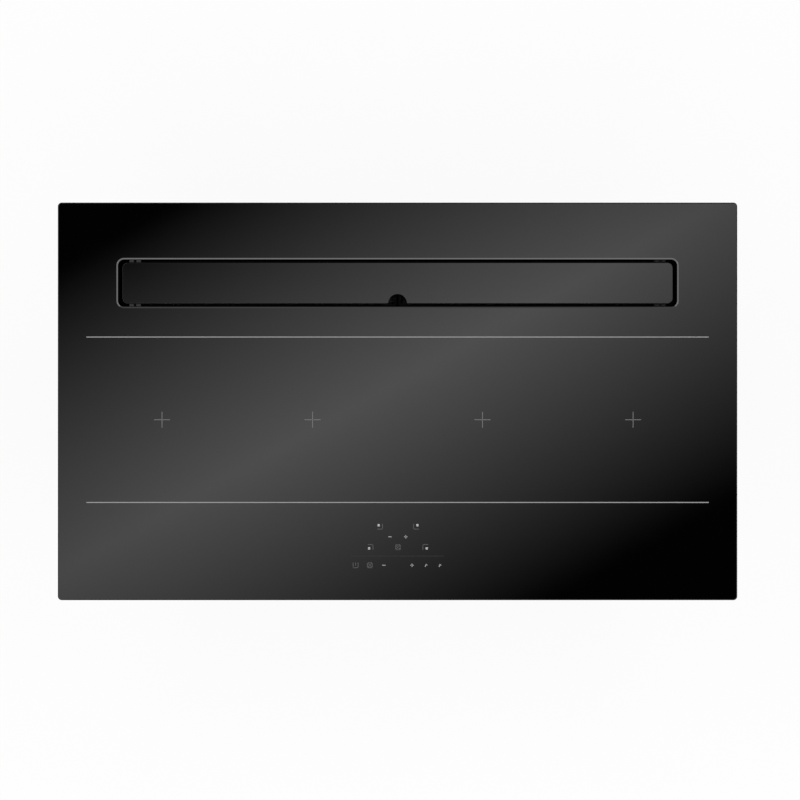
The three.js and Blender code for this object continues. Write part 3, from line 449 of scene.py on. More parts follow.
def stroke(x0, y0, x1, y1, width):
    """A printed stroke from one point to another, its ends rounded."""
    half = Vector(((math.hypot(x1 - x0, y1 - y0) + width) / 2, width / 2, PRINT_THICKNESS / 2))
    made = block("stroke", -half, half, width * STROKE_ROUND, 3)
    made.rotation_euler.z = math.atan2(y1 - y0, x1 - x0)
    made.location = ((x0 + x1) / 2, (y0 + y1) / 2, glass_face.z + PRINT_THICKNESS / 2)
    bpy.ops.object.transform_apply()
    return made


def printed(name, paint, width, strokes):
    """A printed mark of strokes, each (x0, y0, x1, y1), in millimetres."""
    strokes = [stroke(*(end * MM for end in ends), width * MM) for ends in strokes]
    dress(joined(name, strokes), "case", None, paint, turn=None)


def outline(x, y, half, sides):
    """Strokes of a square about a point, on the sides named by their letters: n, e, s, w."""
    west, east, south, north = x - half, x + half, y - half, y + half
    ends = {
        "n": (west, north, east, north),
        "e": (east, south, east, north),
        "s": (west, south, east, south),
        "w": (west, south, west, north),
    }
    return [ends[side] for side in sides]


def plus(x, y, half):
    """The strokes of an upright cross about a point."""
    return [(x - half, y, x + half, y), (x, y - half, x, y + half)]


for i, y in enumerate(LINE_PLACES):
    line = (-LINE_HALF_LENGTH, y, LINE_HALF_LENGTH, y)
    printed(f"printed_line_{i + 1}", line_print, LINE_WIDTH, [line])
for i in range(4):
    x, y, z = middle_of(f"coil_winding_{i + 1}") / MM
    printed(f"zone_cross_{i + 1}", thin_print, CROSS_WIDTH, plus(x, y, CROSS_SPAN / 2))

# Four zone keys: two sides of a square in thin strokes, with a bright spot at the corner that
# points to the zone.
KEY_HALF = 3.2
KEY_STROKE = 0.8
SPOT_HALF = 0.6
SPOT_STROKE = 1.7
SPOT_INSET = 1.8
ZONE_KEYS = {
    "rear_left": (-22.7, -162.2, -1, 1, "es"),
    "rear_right": (23.9, -162.2, 1, 1, "ws"),
    "front_left": (-35.0, -188.6, -1, -1, "ne"),
    "front_right": (36.0, -188.6, 1, -1, "nw"),
}
for zone, (x, y, side_x, side_y, sides) in ZONE_KEYS.items():
    printed(f"zone_key_{zone}", fine_print, KEY_STROKE, outline(x, y, KEY_HALF, sides))
    x += side_x * SPOT_INSET
    y += side_y * SPOT_INSET
    spot = [(x - SPOT_HALF, y + row, x + SPOT_HALF, y + row) for row in (-SPOT_HALF, SPOT_HALF)]
    printed(f"zone_spot_{zone}", bright_print, SPOT_STROKE, spot)

# The other keys: minus and plus, a bridge key, and in front a row of timer, lock and fan keys.
SIGN_STROKE = 1.1
SIGN_HALF = 1.7
SIGN_ROWS = {"upper": (-9.8, 10.7, -175.4), "front": (-17.7, 18.7, -212.2)}
BRIDGE_KEY = (0.6, -188.8)
TIMER_KEY = (-54.3, -212.2)
LOCK_KEY = (-35.9, -212.2)
FAN_KEYS = {"slow": (37.0, -212.2), "fast": (55.0, -212.2)}
FAN_LEAN = 1.1
FRONT_LINE_Y = -200.3
FRONT_LINE_HALF = 59.5
for row, (minus_x, plus_x, y) in SIGN_ROWS.items():
    dash = (minus_x - SIGN_HALF, y, minus_x + SIGN_HALF, y)
    printed(f"minus_{row}", line_print, SIGN_STROKE, [dash])
    printed(f"plus_{row}", line_print, SIGN_STROKE, plus(plus_x, y, SIGN_HALF))
x, y = BRIDGE_KEY
hatch = [(x - KEY_HALF, y - KEY_HALF, x + KEY_HALF, y + KEY_HALF)]
hatch += [(x - KEY_HALF, y, x, y + KEY_HALF), (x, y - KEY_HALF, x + KEY_HALF, y)]
printed("bridge_key", fine_print, KEY_STROKE, outline(x, y, KEY_HALF, "nesw") + hatch)
x, y = TIMER_KEY
hand = [(x, y, x, y + KEY_HALF)]
printed("timer_key", fine_print, KEY_STROKE, outline(x, y, KEY_HALF, "esw") + hand)
x, y = LOCK_KEY
diagonals = [(x - KEY_HALF, y - rise, x + KEY_HALF, y + rise) for rise in (-KEY_HALF, KEY_HALF)]
printed("lock_key", fine_print, KEY_STROKE, outline(x, y, KEY_HALF, "nesw") + diagonals)
for speed, (x, y) in FAN_KEYS.items():
    blades = [(x - FAN_LEAN, y - SIGN_HALF, x, y + SIGN_HALF), (x, y + SIGN_HALF, x + FAN_LEAN, y)]
    printed(f"fan_key_{speed}", line_print, SIGN_STROKE, blades)
front_line = (-FRONT_LINE_HALF, FRONT_LINE_Y, FRONT_LINE_HALF, FRONT_LINE_Y)
printed("front_line", ghost_print, KEY_STROKE, [front_line])

# ---- Rim seal and glass frame
# A black foam seal lies between the glass and the worktop. Inside it a folded frame of galvanised
# steel is bonded under the glass, and screws through its skirt hold the tray. The shape of their
# heads is in shares of the head's radius and height.
SEAL_WIDTH = 12 * MM
SEAL_ROUND = 0.5 * MM
SEAL_CELLS = 1.2 * MM
FRAME_SHEET = 1.2 * MM
FRAME_FLANGE = 20 * MM
FRAME_FOLD = 1.5 * MM
SCREW_HEAD = 3.4 * MM
SCREW_HEIGHT = 2.2 * MM
SCREW_CROSS = 1.1 * MM
SCREW_ARM = 0.6
SCREW_RECESS = 0.45
SCREW_PROFILE = ((0.97, 0), (1, 0.3), (0.9, 0.7), (0.6, 0.95), (0.2, 1))
SKIRT_SCREW_Z = -7 * MM
SKIRT_SCREWS_X = (-370, -220, -74, 74, 220, 370)
SKIRT_SCREWS_Y = (-190, -60, 60, 190)

# Foam rubber: black, with fine open cells whose hollows are painted darker: painted shade.
foam, add, place = material("black cellular foam rubber", 0x141414, 0.9, sockets={"IOR": 1.45})
cell_hollows_and_shade = add("TexVoronoi", {"Vector": place, "Scale": 1 / SEAL_CELLS})
add("Bump", {"Height": cell_hollows_and_shade, "Distance": 0.3 * MM}, "Normal")
# Painted shade: each cell is darker in its hollow and lighter at its rim.
add("MixRGB", {"Fac": cell_hollows_and_shade, "Color1": srgb(0x0C0C0C), "Color2": srgb(0x1E1E1E)}, "Base Color")


def flaked(made, add, place, size, dark, light, glossy, matt):
    """Covers a material with flat cells, each with its own tone and gloss."""
    cell = add("TexVoronoi", {"Vector": place, "Scale": 1 / size}, output="Color")
    shade = add("SeparateColor", {"Color": cell})
    add("MixRGB", {"Fac": shade, "Color1": srgb(dark), "Color2": srgb(light)}, "Base Color")
    add("MapRange", {"Value": shade, "To Min": glossy, "To Max": matt}, "Roughness")
    return made


# Galvanised sheet: zinc crystals about 9 mm across, each a slightly different grey and gloss.
SPANGLE = 9 * MM
ROLLING = 2 * MM
galvanised, add, place = material("hot-dip galvanised sheet", 0xAEB2B5, 0.4, metallic=1)
flaked(galvanised, add, place, SPANGLE, 0x9CA1A4, 0xBFC3C6, glossy=0.32, matt=0.5)
rolling = add("TexNoise", {"Vector": place, "Scale": 1 / ROLLING, "Detail": 4.0})
add("Bump", {"Height": rolling, "Distance": 0.02 * MM}, "Normal")


def worked_metal(name, colour, grain, glossy, matt, stretch=(1, 1, 1), relief=0.02 * MM):
    """Metal with the fine marks of its working, which may be drawn out along an axis."""
    made, add, place = material(name, colour, glossy, metallic=1)
    place = add("Mapping", {"Vector": place, "Scale": stretch})
    marks = add("TexNoise", {"Vector": place, "Scale": 1 / grain, "Detail": 3.0})
    limits = {"Value": marks, "From Min": 0.3, "From Max": 0.7, "To Min": glossy, "To Max": matt}
    add("MapRange", limits, "Roughness")
    if relief:
        add("Bump", {"Height": marks, "Distance": relief}, "Normal")
    return made


# Zinc plate on steel screws and clamps: bright and bluish, with the soft marks of tumbling.
zinc = worked_metal("bright zinc plate", 0xC3C8CC, grain=1.5 * MM, glossy=0.22, matt=0.42)


def turned(name, profile, sides=32):
    """A turned piece round the Z axis, from its profile of (radius, height) points, foot to top."""
    (radius, height), *rest = profile
    circle = {"vertices": sides, "radius": radius, "fill_type": "NGON", "location": (0, 0, height)}
    piece = start(name, bpy.ops.mesh.primitive_circle_add, **circle)
    bpy.ops.object.mode_set(mode="EDIT")
    bpy.ops.mesh.select_all(action="SELECT")
    for next_radius, next_height in rest:
        rise = {"value": (0, 0, next_height - height)}
        bpy.ops.mesh.extrude_region_move(TRANSFORM_OT_translate=rise)
        growth = next_radius / radius
        bpy.ops.transform.resize(value=(growth, growth, 1), center_override=(0, 0, next_height))
        radius, height = next_radius, next_height
    bpy.ops.mesh.select_all(action="SELECT")
    bpy.ops.mesh.normals_make_consistent(inside=False)
    bpy.ops.object.mode_set(mode="OBJECT")
    return piece


def set_out(name, model, *places):
    """Copies a model made round +Z to each (point, direction), and joins the copies."""
    copies = []
    for point, direction in places:
        copy = placed(name, model.data.copy())
        copy.rotation_euler = Vector(direction).to_track_quat("Z", "Y").to_euler()
        copy.location = point
        copies.append(copy)
    bpy.data.objects.remove(model)
    piece = joined(name, copies)
    bpy.ops.object.transform_apply()
    return piece


def pan_screws(name, places):
    """Pan-head screws with a cross recess, standing on each (point, direction)."""
    rounds = [(x * SCREW_HEAD, z * SCREW_HEIGHT) for x, z in SCREW_PROFILE]
    head = turned("screw", rounds, sides=20)
    arm, half, foot = SCREW_ARM * SCREW_HEAD, SCREW_CROSS / 2, SCREW_RECESS * SCREW_HEIGHT
    for x, y in ((arm, half), (half, arm)):
        carve(head, slab("recess", (-x, -y, foot), (x, y, 2 * SCREW_HEIGHT)))
    dress(set_out(name, head, *places), "case", "zinc_steel", zinc)


def level_over(z):
    """A test for level edges above a height."""
    return lambda middle, along: level(middle, along) and middle.z > z


low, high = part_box("rim_seal")
seal = block("foam_seal", low, high, GLASS_CORNER)
ease(seal, SEAL_ROUND, level, 2)
edge = inwards(SEAL_WIDTH, -MM)
carve(seal, block("seal_hole", low + edge, high - edge, GLASS_CORNER))
dress(seal, "case", "seal_rubber", foam, "rim_seal")

low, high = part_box("glass_frame")
skirt = block("folded_glass_frame", low, high, GLASS_CORNER)
ease(skirt, FRAME_FOLD, level_over(high.z - MM))
inside_low, inside_high = low + inwards(FRAME_SHEET, -MM), high - inwards(FRAME_SHEET, FRAME_SHEET)
edge = inwards(FRAME_FLANGE, -MM)
carve(
    skirt,
    block("skirt_inside", inside_low, inside_high, GLASS_CORNER - FRAME_SHEET),
    block("flange_hole", low + edge, high - edge, GLASS_CORNER),
)
dress(skirt, "case", "galvanised_steel", galvanised, "glass_frame")
screws = []
for side in (-1, 1):
    screws += [((x * MM, side * high.y, SKIRT_SCREW_Z), (0, side, 0)) for x in SKIRT_SCREWS_X]
    screws += [((side * high.x, y * MM, SKIRT_SCREW_Z), (side, 0, 0)) for y in SKIRT_SCREWS_Y]
pan_screws("skirt_screws", screws)

# ---- Slot frame and its pads
# A deep frame moulded in black ABS hangs under the slot, its rim bonded to the glass. Its floor
# has two windows, and four lugs in it carry the cover on grey silicone pads. Ears on the lugs keep
# the cover in place, and grey silicone sleeves on those of the two left lugs take up its play.
MOULD_GRAIN = 0.7 * MM
RIM_REACH = 12 * MM
RIM_SHEET = 1.5 * MM
RIM_TOP = 2 * MM
RIM_CORNER = 8 * MM
WELL_WALL = 2 * MM
WELL_CORNER = 10 * MM
WELL_ROUND = 1.5 * MM
WINDOW_SHELF = 10 * MM
WINDOW_CORNER = 3 * MM
LUG_HALF = 8 * MM
LUG_REACH = 14.5 * MM
LUG_THICKNESS = 6 * MM
LUG_ROUND = 0.8 * MM
PAD_BED = 0.3 * MM
PAD_CORNER = 2 * MM
PAD_EASE = 0.8 * MM
EAR_PITCH = 9 * MM
EAR_WIDTH = 5 * MM
EAR_DEPTH = 3 * MM
EAR_CLEAR = 0.65 * MM
EAR_TOP = 3.5 * MM
EAR_ROUND = 1.2 * MM
SLEEVE_WALL = 0.4 * MM
SLEEVE_LENGTH = 3.6 * MM
SLEEVE_CORNER = 0.8 * MM
SLEEVE_ROUND = 0.5 * MM


def moulded(name, dark, light, roughness, gloss=0.5):
    """Moulded plastic: an even colour with the fine grain of a spark-eroded mould."""
    shine = {"IOR": 1.5, "Specular IOR Level": gloss}
    made, add, place = material(name, light, roughness, sockets=shine)
    grain = add("TexNoise", {"Vector": place, "Scale": 1 / MOULD_GRAIN, "Detail": 3.0})
    add("MixRGB", {"Fac": grain, "Color1": srgb(dark), "Color2": srgb(light)}, "Base Color")
    add("Bump", {"Height": grain, "Distance": 0.05 * MM}, "Normal")
    return made


black_abs = moulded("black moulded ABS", 0x0E0E0F, 0x161617, 0.6, 0.3)
silicone = moulded("dark grey moulded silicone", 0x17181A, 0x1F2022, 0.65)


def level_under(z):
    """A test for level edges below a height."""
    return lambda middle, along: level(middle, along) and middle.z < z


low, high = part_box("slot_frame")
high.z = RIM_TOP
reach = inwards(RIM_REACH)
well = block("moulded_slot_frame", low + reach, high - reach, WELL_CORNER)
ease(well, WELL_ROUND, level_under(low.z + MM))
rim = block("rim", (low.x, low.y, high.z - RIM_SHEET), high, RIM_CORNER)
ease(rim, RIM_SHEET / 4, level, 2)
carve(well, rim, operation="UNION")
reach += inwards(WELL_WALL)
inside_low, inside_high = low + reach, high - reach
floor_top = inwards(0, WELL_WALL)
inside = block("inside", inside_low + floor_top, inside_high + floor_top, WELL_CORNER - WELL_WALL)
ease(inside, WELL_ROUND / 2, level_under(low.z + 2 * WELL_WALL), 2)
shelf = inwards(WINDOW_SHELF)
windows = []
for side in ("left", "right"):
    window_low, window_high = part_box(f"filter_frame_{side}")
    window_low.z, window_high.z = low.z - MM, low.z + 2 * WELL_WALL
    windows.append(block("window", window_low + shelf, window_high - shelf, WINDOW_CORNER, 4))
carve(well, inside, *windows)
lugs = []
for corner in ("front_left", "front_right", "rear_left", "rear_right"):
    low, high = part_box(f"cover_pad_{corner}")
    pad = block(f"silicone_pad_{corner}", low, high, PAD_CORNER, 4)
    ease(pad, PAD_EASE)
    dress(pad, "case", "grey_silicone", silicone, f"cover_pad_{corner}")

    side, wall_y, edge_y = -1, inside_low.y, slot_low.y
    if corner.startswith("rear"):
        side, wall_y, edge_y = 1, inside_high.y, slot_high.y
    x, top = (low.x + high.x) / 2, low.z - PAD_BED
    y0, y1 = sorted((wall_y + side * WELL_WALL / 2, wall_y - side * LUG_REACH))
    lug = slab("lug", (x - LUG_HALF, y0, top - LUG_THICKNESS), (x + LUG_HALF, y1, top))
    ease(lug, LUG_ROUND, lambda middle, along: (middle.y - wall_y) * side < 0)
    lugs.append(lug)
    sleeves = []
    for step in (-EAR_PITCH / 2, EAR_PITCH / 2):
        middle = Vector((x + step, edge_y + side * (EAR_CLEAR + EAR_DEPTH / 2), EAR_TOP))
        half = Vector((EAR_WIDTH / 2, EAR_DEPTH / 2, 0))
        foot = inwards(0, EAR_TOP - top + LUG_THICKNESS / 2)
        ear = slab("ear", middle - half - foot, middle + half)
        ease(ear, EAR_ROUND, lambda middle, along: middle.z > top)
        lugs.append(ear)
        if corner.endswith("left"):
            half += inwards(SLEEVE_WALL, SLEEVE_WALL)
            foot = inwards(0, SLEEVE_LENGTH - 2 * SLEEVE_WALL)
            sleeve = block("sleeve", middle - half - foot, middle + half, SLEEVE_CORNER, 3)
            ease(sleeve, SLEEVE_ROUND, level_over(EAR_TOP))
            sleeves.append(sleeve)
    if sleeves:
        dress(joined(f"ear_sleeves_{corner}", sleeves), "case", "grey_silicone", silicone)
carve(well, *lugs, operation="UNION")
dress(well, "case", "black_plastic", black_abs, "slot_frame")

# ---- Loose cover
# A loose strip of the same black glass lies flush in the slot, with a moulded backing bonded under
# it. Its front edge has a half-round notch for a fingertip, and its edges are polished to a small
# round.
COVER_CORNER = 7 * MM
COVER_EDGE = 0.5 * MM
NOTCH_RADIUS = 12 * MM
NOTCH_FILLET = 2 * MM
NOTCH_NEAR = 0.2 * MM


def rod(name, low, high, radius, sides=48):
    """A round bar between two points."""
    low, high = Vector(low), Vector(high)
    way, middle = high - low, (low + high) / 2
    turn = way.to_track_quat("Z", "Y").to_euler()
    bar = {"vertices": sides, "radius": radius, "depth": way.length}
    return start(name, bpy.ops.mesh.primitive_cylinder_add, rotation=turn, location=middle, **bar)


def at_notch(middle, along):
    """The upright edges where the notch meets the front edge."""
    beside = abs(abs(middle.x) - NOTCH_RADIUS) < NOTCH_NEAR
    return upright(middle, along) and beside and abs(middle.y - slot_low.y) < NOTCH_NEAR


def repaint(paint, *nodes):
    """Gives nodes that keep their shape a material."""
    for node in nodes:
        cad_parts[node].material_slots[0].material = paint


cover = block("cover_plate", slot_low, slot_high, COVER_CORNER)
notch = (0, slot_low.y, slot_low.z - MM), (0, slot_low.y, slot_high.z + MM)
carve(cover, rod("notch", *notch, NOTCH_RADIUS, sides=96))
ease(cover, NOTCH_FILLET, at_notch, 6)
ease(cover, COVER_EDGE)
dress(cover, "cover", "black_glass", black_glass, "cover_glass", turn=40)
repaint(black_abs, "cover_backing")

# ---- Grease filters
# Two baskets of black enamelled steel, each holding a pleated mat of aluminium mesh. A strap
# across the top with a finger hole lifts each one out.
BASKET_SHEET = 1.2 * MM
BASKET_CORNER = 3 * MM
BASKET_EASE = 0.48 * MM
BASKET_LIP = 5 * MM
STRAP_HALF = 11 * MM
STRAP_SHEET = 1.5 * MM
STRAP_EASE = 0.5 * MM
STRAP_HOLE = 7 * MM
MESH_PITCH = 4.2 * MM
MESH_WIRE = 0.8 * MM
MESH_FOLDS = 18
SOIL_SIZE = 14 * MM

# Black enamel on steel: sprayed and fired matt, so it throws back little light from above.
black_enamel = moulded("matt black enamel on steel", 0x050505, 0x0A0A0B, 0.7, 0.2)

# Aluminium wire in the grease stream: duller and darker than bare sheet, in soft patches.
wire, add, place = material("dull aluminium wire", 0x9A9C9F, 0.5, metallic=1)
soil = add("TexNoise", {"Vector": place, "Scale": 1 / SOIL_SIZE, "Detail": 3.0})
add("MixRGB", {"Fac": soil, "Color1": srgb(0x86888B), "Color2": srgb(0xACAEB1)}, "Base Color")

for side in ("left", "right"):
    low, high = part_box(f"filter_frame_{side}")
    basket = block(f"basket_{side}", low, high, BASKET_CORNER, 6)
    ease(basket, BASKET_EASE, level, 2)
    lip = inwards(BASKET_SHEET + BASKET_LIP)
    over = inwards(0, MM)
    inside_low = low + inwards(BASKET_SHEET, BASKET_SHEET)
    carve(
        basket,
        block("inside", inside_low, high - inwards(BASKET_SHEET) + over, BASKET_CORNER / 2, 6),
        block("window", low + lip - over, high - lip + over, BASKET_CORNER / 2, 6),
    )
    x, y = (low.x + high.x) / 2, (low.y + high.y) / 2
    strap_low = (x - STRAP_HALF, low.y + BASKET_SHEET / 2, high.z - STRAP_SHEET)
    strap = slab("strap", strap_low, (x + STRAP_HALF, high.y - BASKET_SHEET / 2, high.z))
    ease(strap, STRAP_EASE, runs(1), 2)
    ends = (x, y, high.z - 2 * STRAP_SHEET), (x, y, high.z + MM)
    carve(strap, rod("finger_hole", *ends, STRAP_HOLE))
    basket = joined(f"basket_{side}", [basket, strap])
    dress(basket, f"filter_{side}", "black_enamel", black_enamel, f"filter_frame_{side}")

    low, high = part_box(f"filter_mesh_{side}")
    size = high - low
    length = size.x - 2 * MESH_WIRE
    climb = size.z - MESH_WIRE
    steps_in_fold = round(math.hypot(size.x / MESH_FOLDS, climb) / MESH_PITCH)
    mat = start(
        f"pleated_mesh_{side}",
        bpy.ops.mesh.primitive_grid_add,
        stretch=(length, size.y - 2 * MESH_WIRE, 1),
        x_subdivisions=MESH_FOLDS * steps_in_fold,
        y_subdivisions=round(size.y / MESH_PITCH),
        size=1,
        location=((low.x + high.x) / 2, (low.y + high.y) / 2, low.z + MESH_WIRE / 2),
    )
    for vertex in mat.data.vertices:
        fold = (vertex.co.x - low.x - MESH_WIRE) / length * MESH_FOLDS
        vertex.co.z += climb * (1 - abs(fold % 2 - 1))
    wires = mat.modifiers.new("wires", "WIREFRAME")
    wires.thickness = MESH_WIRE
    wires.use_even_offset = False
    bpy.ops.object.modifier_apply(modifier=wires.name)
    dress(mat, f"filter_{side}", "aluminium", wire, f"filter_mesh_{side}", turn=None)

# ---- Induction coils
# Under each zone lie a sheet of mica, a flat coil of enamelled copper litz and a moulded carrier,
# on an aluminium deck that stands on the tray's floor.
LITZ_TURNS = 17
LITZ_STEPS = 64
LITZ_FILL = 0.46
COIL_HOLE = (22 * MM, 32 * MM, 20 * MM)
COIL_CORNER = 58 * MM

# Litz: lacquered strands twisted together, with painted shade in the grooves and painted highlight
# on the crests.
STRAND_LENGTH = 3 * MM
litz, add, place = material("enamelled copper litz", 0xB4622F, 0.35, metallic=1)
twist = {"Vector": place, "Scale": 1 / STRAND_LENGTH}
strand_ridges_and_shade = add("TexWave", twist, output="Fac", bands_direction="DIAGONAL")
add("Bump", {"Height": strand_ridges_and_shade, "Distance": 0.2 * MM}, "Normal")
# Painted shade and highlight: the copper is darker in the grooves between the strands and lighter
# on their crests.
add("MixRGB", {"Fac": strand_ridges_and_shade, "Color1": srgb(0x8C4420), "Color2": srgb(0xC8763C)}, "Base Color")

# Mica: pressed flakes, each with its own tone and gloss.
FLAKE = 6 * MM
mica = material("pressed mica sheet", 0xCFC6B2, 0.7, sockets={"IOR": 1.56})
mica = flaked(*mica, FLAKE, 0xBDB29A, 0xDDD6C6, glossy=0.4, matt=0.8)

carrier_plastic = moulded("glass-filled carrier plastic", 0xCFCDC5, 0xDEDCD6, 0.55)

# Mill-finished aluminium: fine lines along the rolling.
rolled = {"grain": 0.8 * MM, "glossy": 0.3, "matt": 0.48, "stretch": (0.04, 1, 1)}
aluminium = worked_metal("mill-finished aluminium", 0xC6C9CC, **rolled)


def oval_point(half_x, half_y, corner, turn):
    """The point of a rounded rectangle's outline in the direction of a turn round its middle."""
    along = Vector((math.cos(turn), math.sin(turn)))
    flat_x, flat_y = half_x - corner, half_y - corner
    reach_x = half_x / abs(along.x) if along.x else math.inf
    reach_y = half_y / abs(along.y) if along.y else math.inf
    point = along * min(reach_x, reach_y)
    if abs(point.x) > flat_x and abs(point.y) > flat_y:
        centre = Vector((math.copysign(flat_x, along.x), math.copysign(flat_y, along.y)))
        ahead = centre.dot(along)
        point = along * (ahead + math.sqrt(max(ahead**2 - centre.length_squared + corner**2, 0)))
    return point


for i in range(4):
    low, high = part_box(f"coil_winding_{i + 1}")
    middle = (low + high) / 2
    rim = ((high.x - low.x) / 2, (high.y - low.y) / 2, COIL_CORNER)
    spacing = (rim[0] - COIL_HOLE[0]) / LITZ_TURNS
    path = bpy.data.curves.new("litz", "CURVE")
    path.dimensions = "3D"
    path.bevel_depth = min(spacing, high.z - low.z) * LITZ_FILL
    path.bevel_resolution = 1
    path.use_fill_caps = True
    spline = path.splines.new("POLY")
    steps = (LITZ_TURNS - 1) * LITZ_STEPS
    spline.points.add(steps)
    for step in range(steps + 1):
        share = (step / LITZ_STEPS + 0.5) / LITZ_TURNS
        sizes = [inner + (outer - inner) * share for inner, outer in zip(COIL_HOLE, rim)]
        point = oval_point(*sizes, 2 * math.pi * step / LITZ_STEPS)
        spline.points[step].co = (middle.x + point.x, middle.y + point.y, middle.z, 1)
    only(placed(f"litz_winding_{i + 1}", path))
    bpy.ops.object.convert(target="MESH")
    bpy.ops.object.shade_smooth()
    dress(bpy.context.object, "case", "copper", litz, f"coil_winding_{i + 1}", turn=None)
    repaint(mica, f"coil_insulation_{i + 1}")
    repaint(carrier_plastic, f"coil_carrier_{i + 1}")
repaint(aluminium, "coil_deck")

# ---- Electronics and its fans
# Two power boards with their heat sinks, a mains filter board and the touch board, all of green
# glass epoxy, and two radial fans moulded in plastic that draw air through slots in the tray.
TRACK_CELL = 16 * MM
TRACK_GAP = 1.4 * MM

# Solder mask: green, with lighter tracks that stand up a little under it.
mask_name = "green solder mask on glass epoxy"
solder_mask, add, place = material(mask_name, 0x1C5236, 0.4, sockets={"IOR": 1.5})
layout = {"Vector": place, "Scale": 1 / TRACK_CELL, "Mortar Size": TRACK_GAP / TRACK_CELL}
greens = {"Color1": srgb(0x174A30), "Color2": srgb(0x1D5638), "Mortar": srgb(0x2C7A50)}
tracks = add("TexBrick", {**layout, **greens}, "Base Color").node.outputs["Fac"]
add("Bump", {"Height": tracks, "Distance": 0.05 * MM}, "Normal")
repaint(solder_mask, "power_board_left", "power_board_right", "mains_board", "touch_board")
repaint(aluminium, "heatsink_left", "heatsink_right")
grey_pp = moulded("grey moulded polypropylene", 0x84878A, 0x94979A, 0.5)
repaint(black_abs, "touch_holder", "fan_housing_left", "fan_housing_right")
repaint(grey_pp, "fan_rotor_left", "fan_rotor_right")

# ---- Base tray
# A folded tray of galvanised sheet holds it all. Its floor has a hole for the slot frame, one for
# the mains wires and slots under the fans. Pressed beads stiffen it, and slots in its sides let
# warm air out. Tools that cut holes reach a little beyond the sheet.
TRAY_SHEET = 1 * MM
TRAY_FOLD = 2 * MM
TRAY_CORNER = 5 * MM
WELL_HOLE_INSET = 10.5 * MM
WELL_HOLE_CORNER = 11.5 * MM
LEAD_HOLE = 9 * MM
GRILLE_SLOTS = 5
GRILLE_PITCH = 10 * MM
GRILLE_WIDTH = 4 * MM
GRILLE_LENGTH = 54 * MM
BEAD_DEPTH = 0.6 * MM
FRONT_BEADS = ((215, 285, -225, -216), (215, 285, -175, -166))
DECK_BEADS = ((230, 370, -105, -96), (230, 370, -15, -6))
VENT_SLOTS = 8
VENT_PITCH = 11 * MM
VENT_WIDTH = 4 * MM
VENT_LENGTH = 22 * MM
VENT_Z = -34 * MM
NEARLY_HALF = 0.49
NEARLY_ALL = 0.9
TOOL_HALF = 4 * MM
BEYOND = 5 * MM


def folded_tray(name, low, high, corner, fold, sheet, steps=4):
    """An open-topped box of sheet, its outer edges folded round."""
    piece = block(name, low, high, corner)
    ease(piece, fold, level_under(low.z + MM), steps)
    inside_low = low + inwards(sheet, sheet)
    inside = block("inside", inside_low, high - inwards(sheet, -MM), corner - sheet)
    ease(inside, fold - sheet, level_under(inside_low.z + MM), steps)
    carve(piece, inside)
    return piece


def bead(x0, x1, y0, y1, z):
    """The tool of a pressed bead in a level face that looks down: a long shallow block, rounded."""
    narrow = min(x1 - x0, y1 - y0)
    tool = block("bead", (x0, y0, z - MM), (x1, y1, z + BEAD_DEPTH), narrow * NEARLY_HALF, 8)
    ease(tool, BEAD_DEPTH * NEARLY_ALL, level_over(z))
    return tool


def row_of(count, pitch, middle=0):
    """The places of a row of like things, evenly about its middle."""
    return [middle + (i - (count - 1) / 2) * pitch for i in range(count)]


tray_low, tray_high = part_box("base_tray")
tray = folded_tray("tray_shell", tray_low, tray_high, TRAY_CORNER, TRAY_FOLD, TRAY_SHEET)
low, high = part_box("slot_frame")
edge = inwards(WELL_HOLE_INSET)
tools = [block("well_hole", low + edge, high - edge, WELL_HOLE_CORNER)]
x, y, z = middle_of("terminal_box")
tools.append(rod("lead_hole", (x, y, tray_low.z - MM), (x, y, tray_low.z + BEYOND), LEAD_HOLE))
half = Vector((GRILLE_WIDTH / 2, GRILLE_LENGTH / 2, TOOL_HALF))
for side in ("left", "right"):
    low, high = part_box(f"fan_rotor_{side}")
    for x in row_of(GRILLE_SLOTS, GRILLE_PITCH, (low.x + high.x) / 2):
        at = Vector((x, (low.y + high.y) / 2, tray_low.z))
        tools.append(block("grille_slot", at - half, at + half, GRILLE_WIDTH * NEARLY_HALF, 6))
half = Vector((TOOL_HALF, VENT_WIDTH / 2, VENT_LENGTH / 2))
for side in (-1, 1):
    for x0, x1, y0, y1 in FRONT_BEADS + DECK_BEADS:
        x0, x1 = sorted((side * x0 * MM, side * x1 * MM))
        tools.append(bead(x0, x1, y0 * MM, y1 * MM, tray_low.z))
    for y in row_of(VENT_SLOTS, VENT_PITCH):
        middle = Vector((side * tray_high.x, y, VENT_Z))
        vent = slab("vent_slot", middle - half, middle + half)
        ease(vent, VENT_WIDTH * NEARLY_HALF, runs(0), 6)
        tools.append(vent)
carve(tray, *tools)
dress(tray, "case", "galvanised_steel", galvanised, "base_tray")

# ---- Plenum and drip tray
# A galvanised box under the slot frame gathers the air and passes it forwards. A grey tray moulded
# in polypropylene hangs under it and catches what drips through the slot.
PLENUM_SHEET = 1.2 * MM
PLENUM_CORNER = 3 * MM
PLENUM_FOLD = 2.4 * MM
DRIP_LEDGE = 6 * MM
PORT_HALF = 175 * MM
PORT_EDGE = 4.5 * MM
PORT_HEIGHT = 41 * MM
PANEL_RISE = 1.5 * MM
PANEL_CORNER = 8 * MM
PANEL_FOOT = -164 * MM
PANEL_TOP = -76 * MM
REAR_PANELS = ((-350, -125), (-112, 112), (125, 350))
FRONT_PANELS = ((-350, -215), (215, 350))
END_PANEL = (130, 177)
PLENUM_BEAD = (147, 159)
SHEET_SCREW_Z = -65 * MM
REAR_SCREWS = (-330, -200, -66, 66, 200, 330)
FRONT_SCREWS = (-330, -230, 230, 330)
DRIP_CORNER = 8 * MM
DRIP_ROUND = 6 * MM
DRIP_WALL = 1.5 * MM
GRIP_RIBS = 7
GRIP_PITCH = 6 * MM
GRIP_HALF = Vector((0.6, 1.1, 8)) * MM
GRIP_SINK = 0.2 * MM
GRIP_Z = 17 * MM
GRIP_ROUND = 0.5 * MM


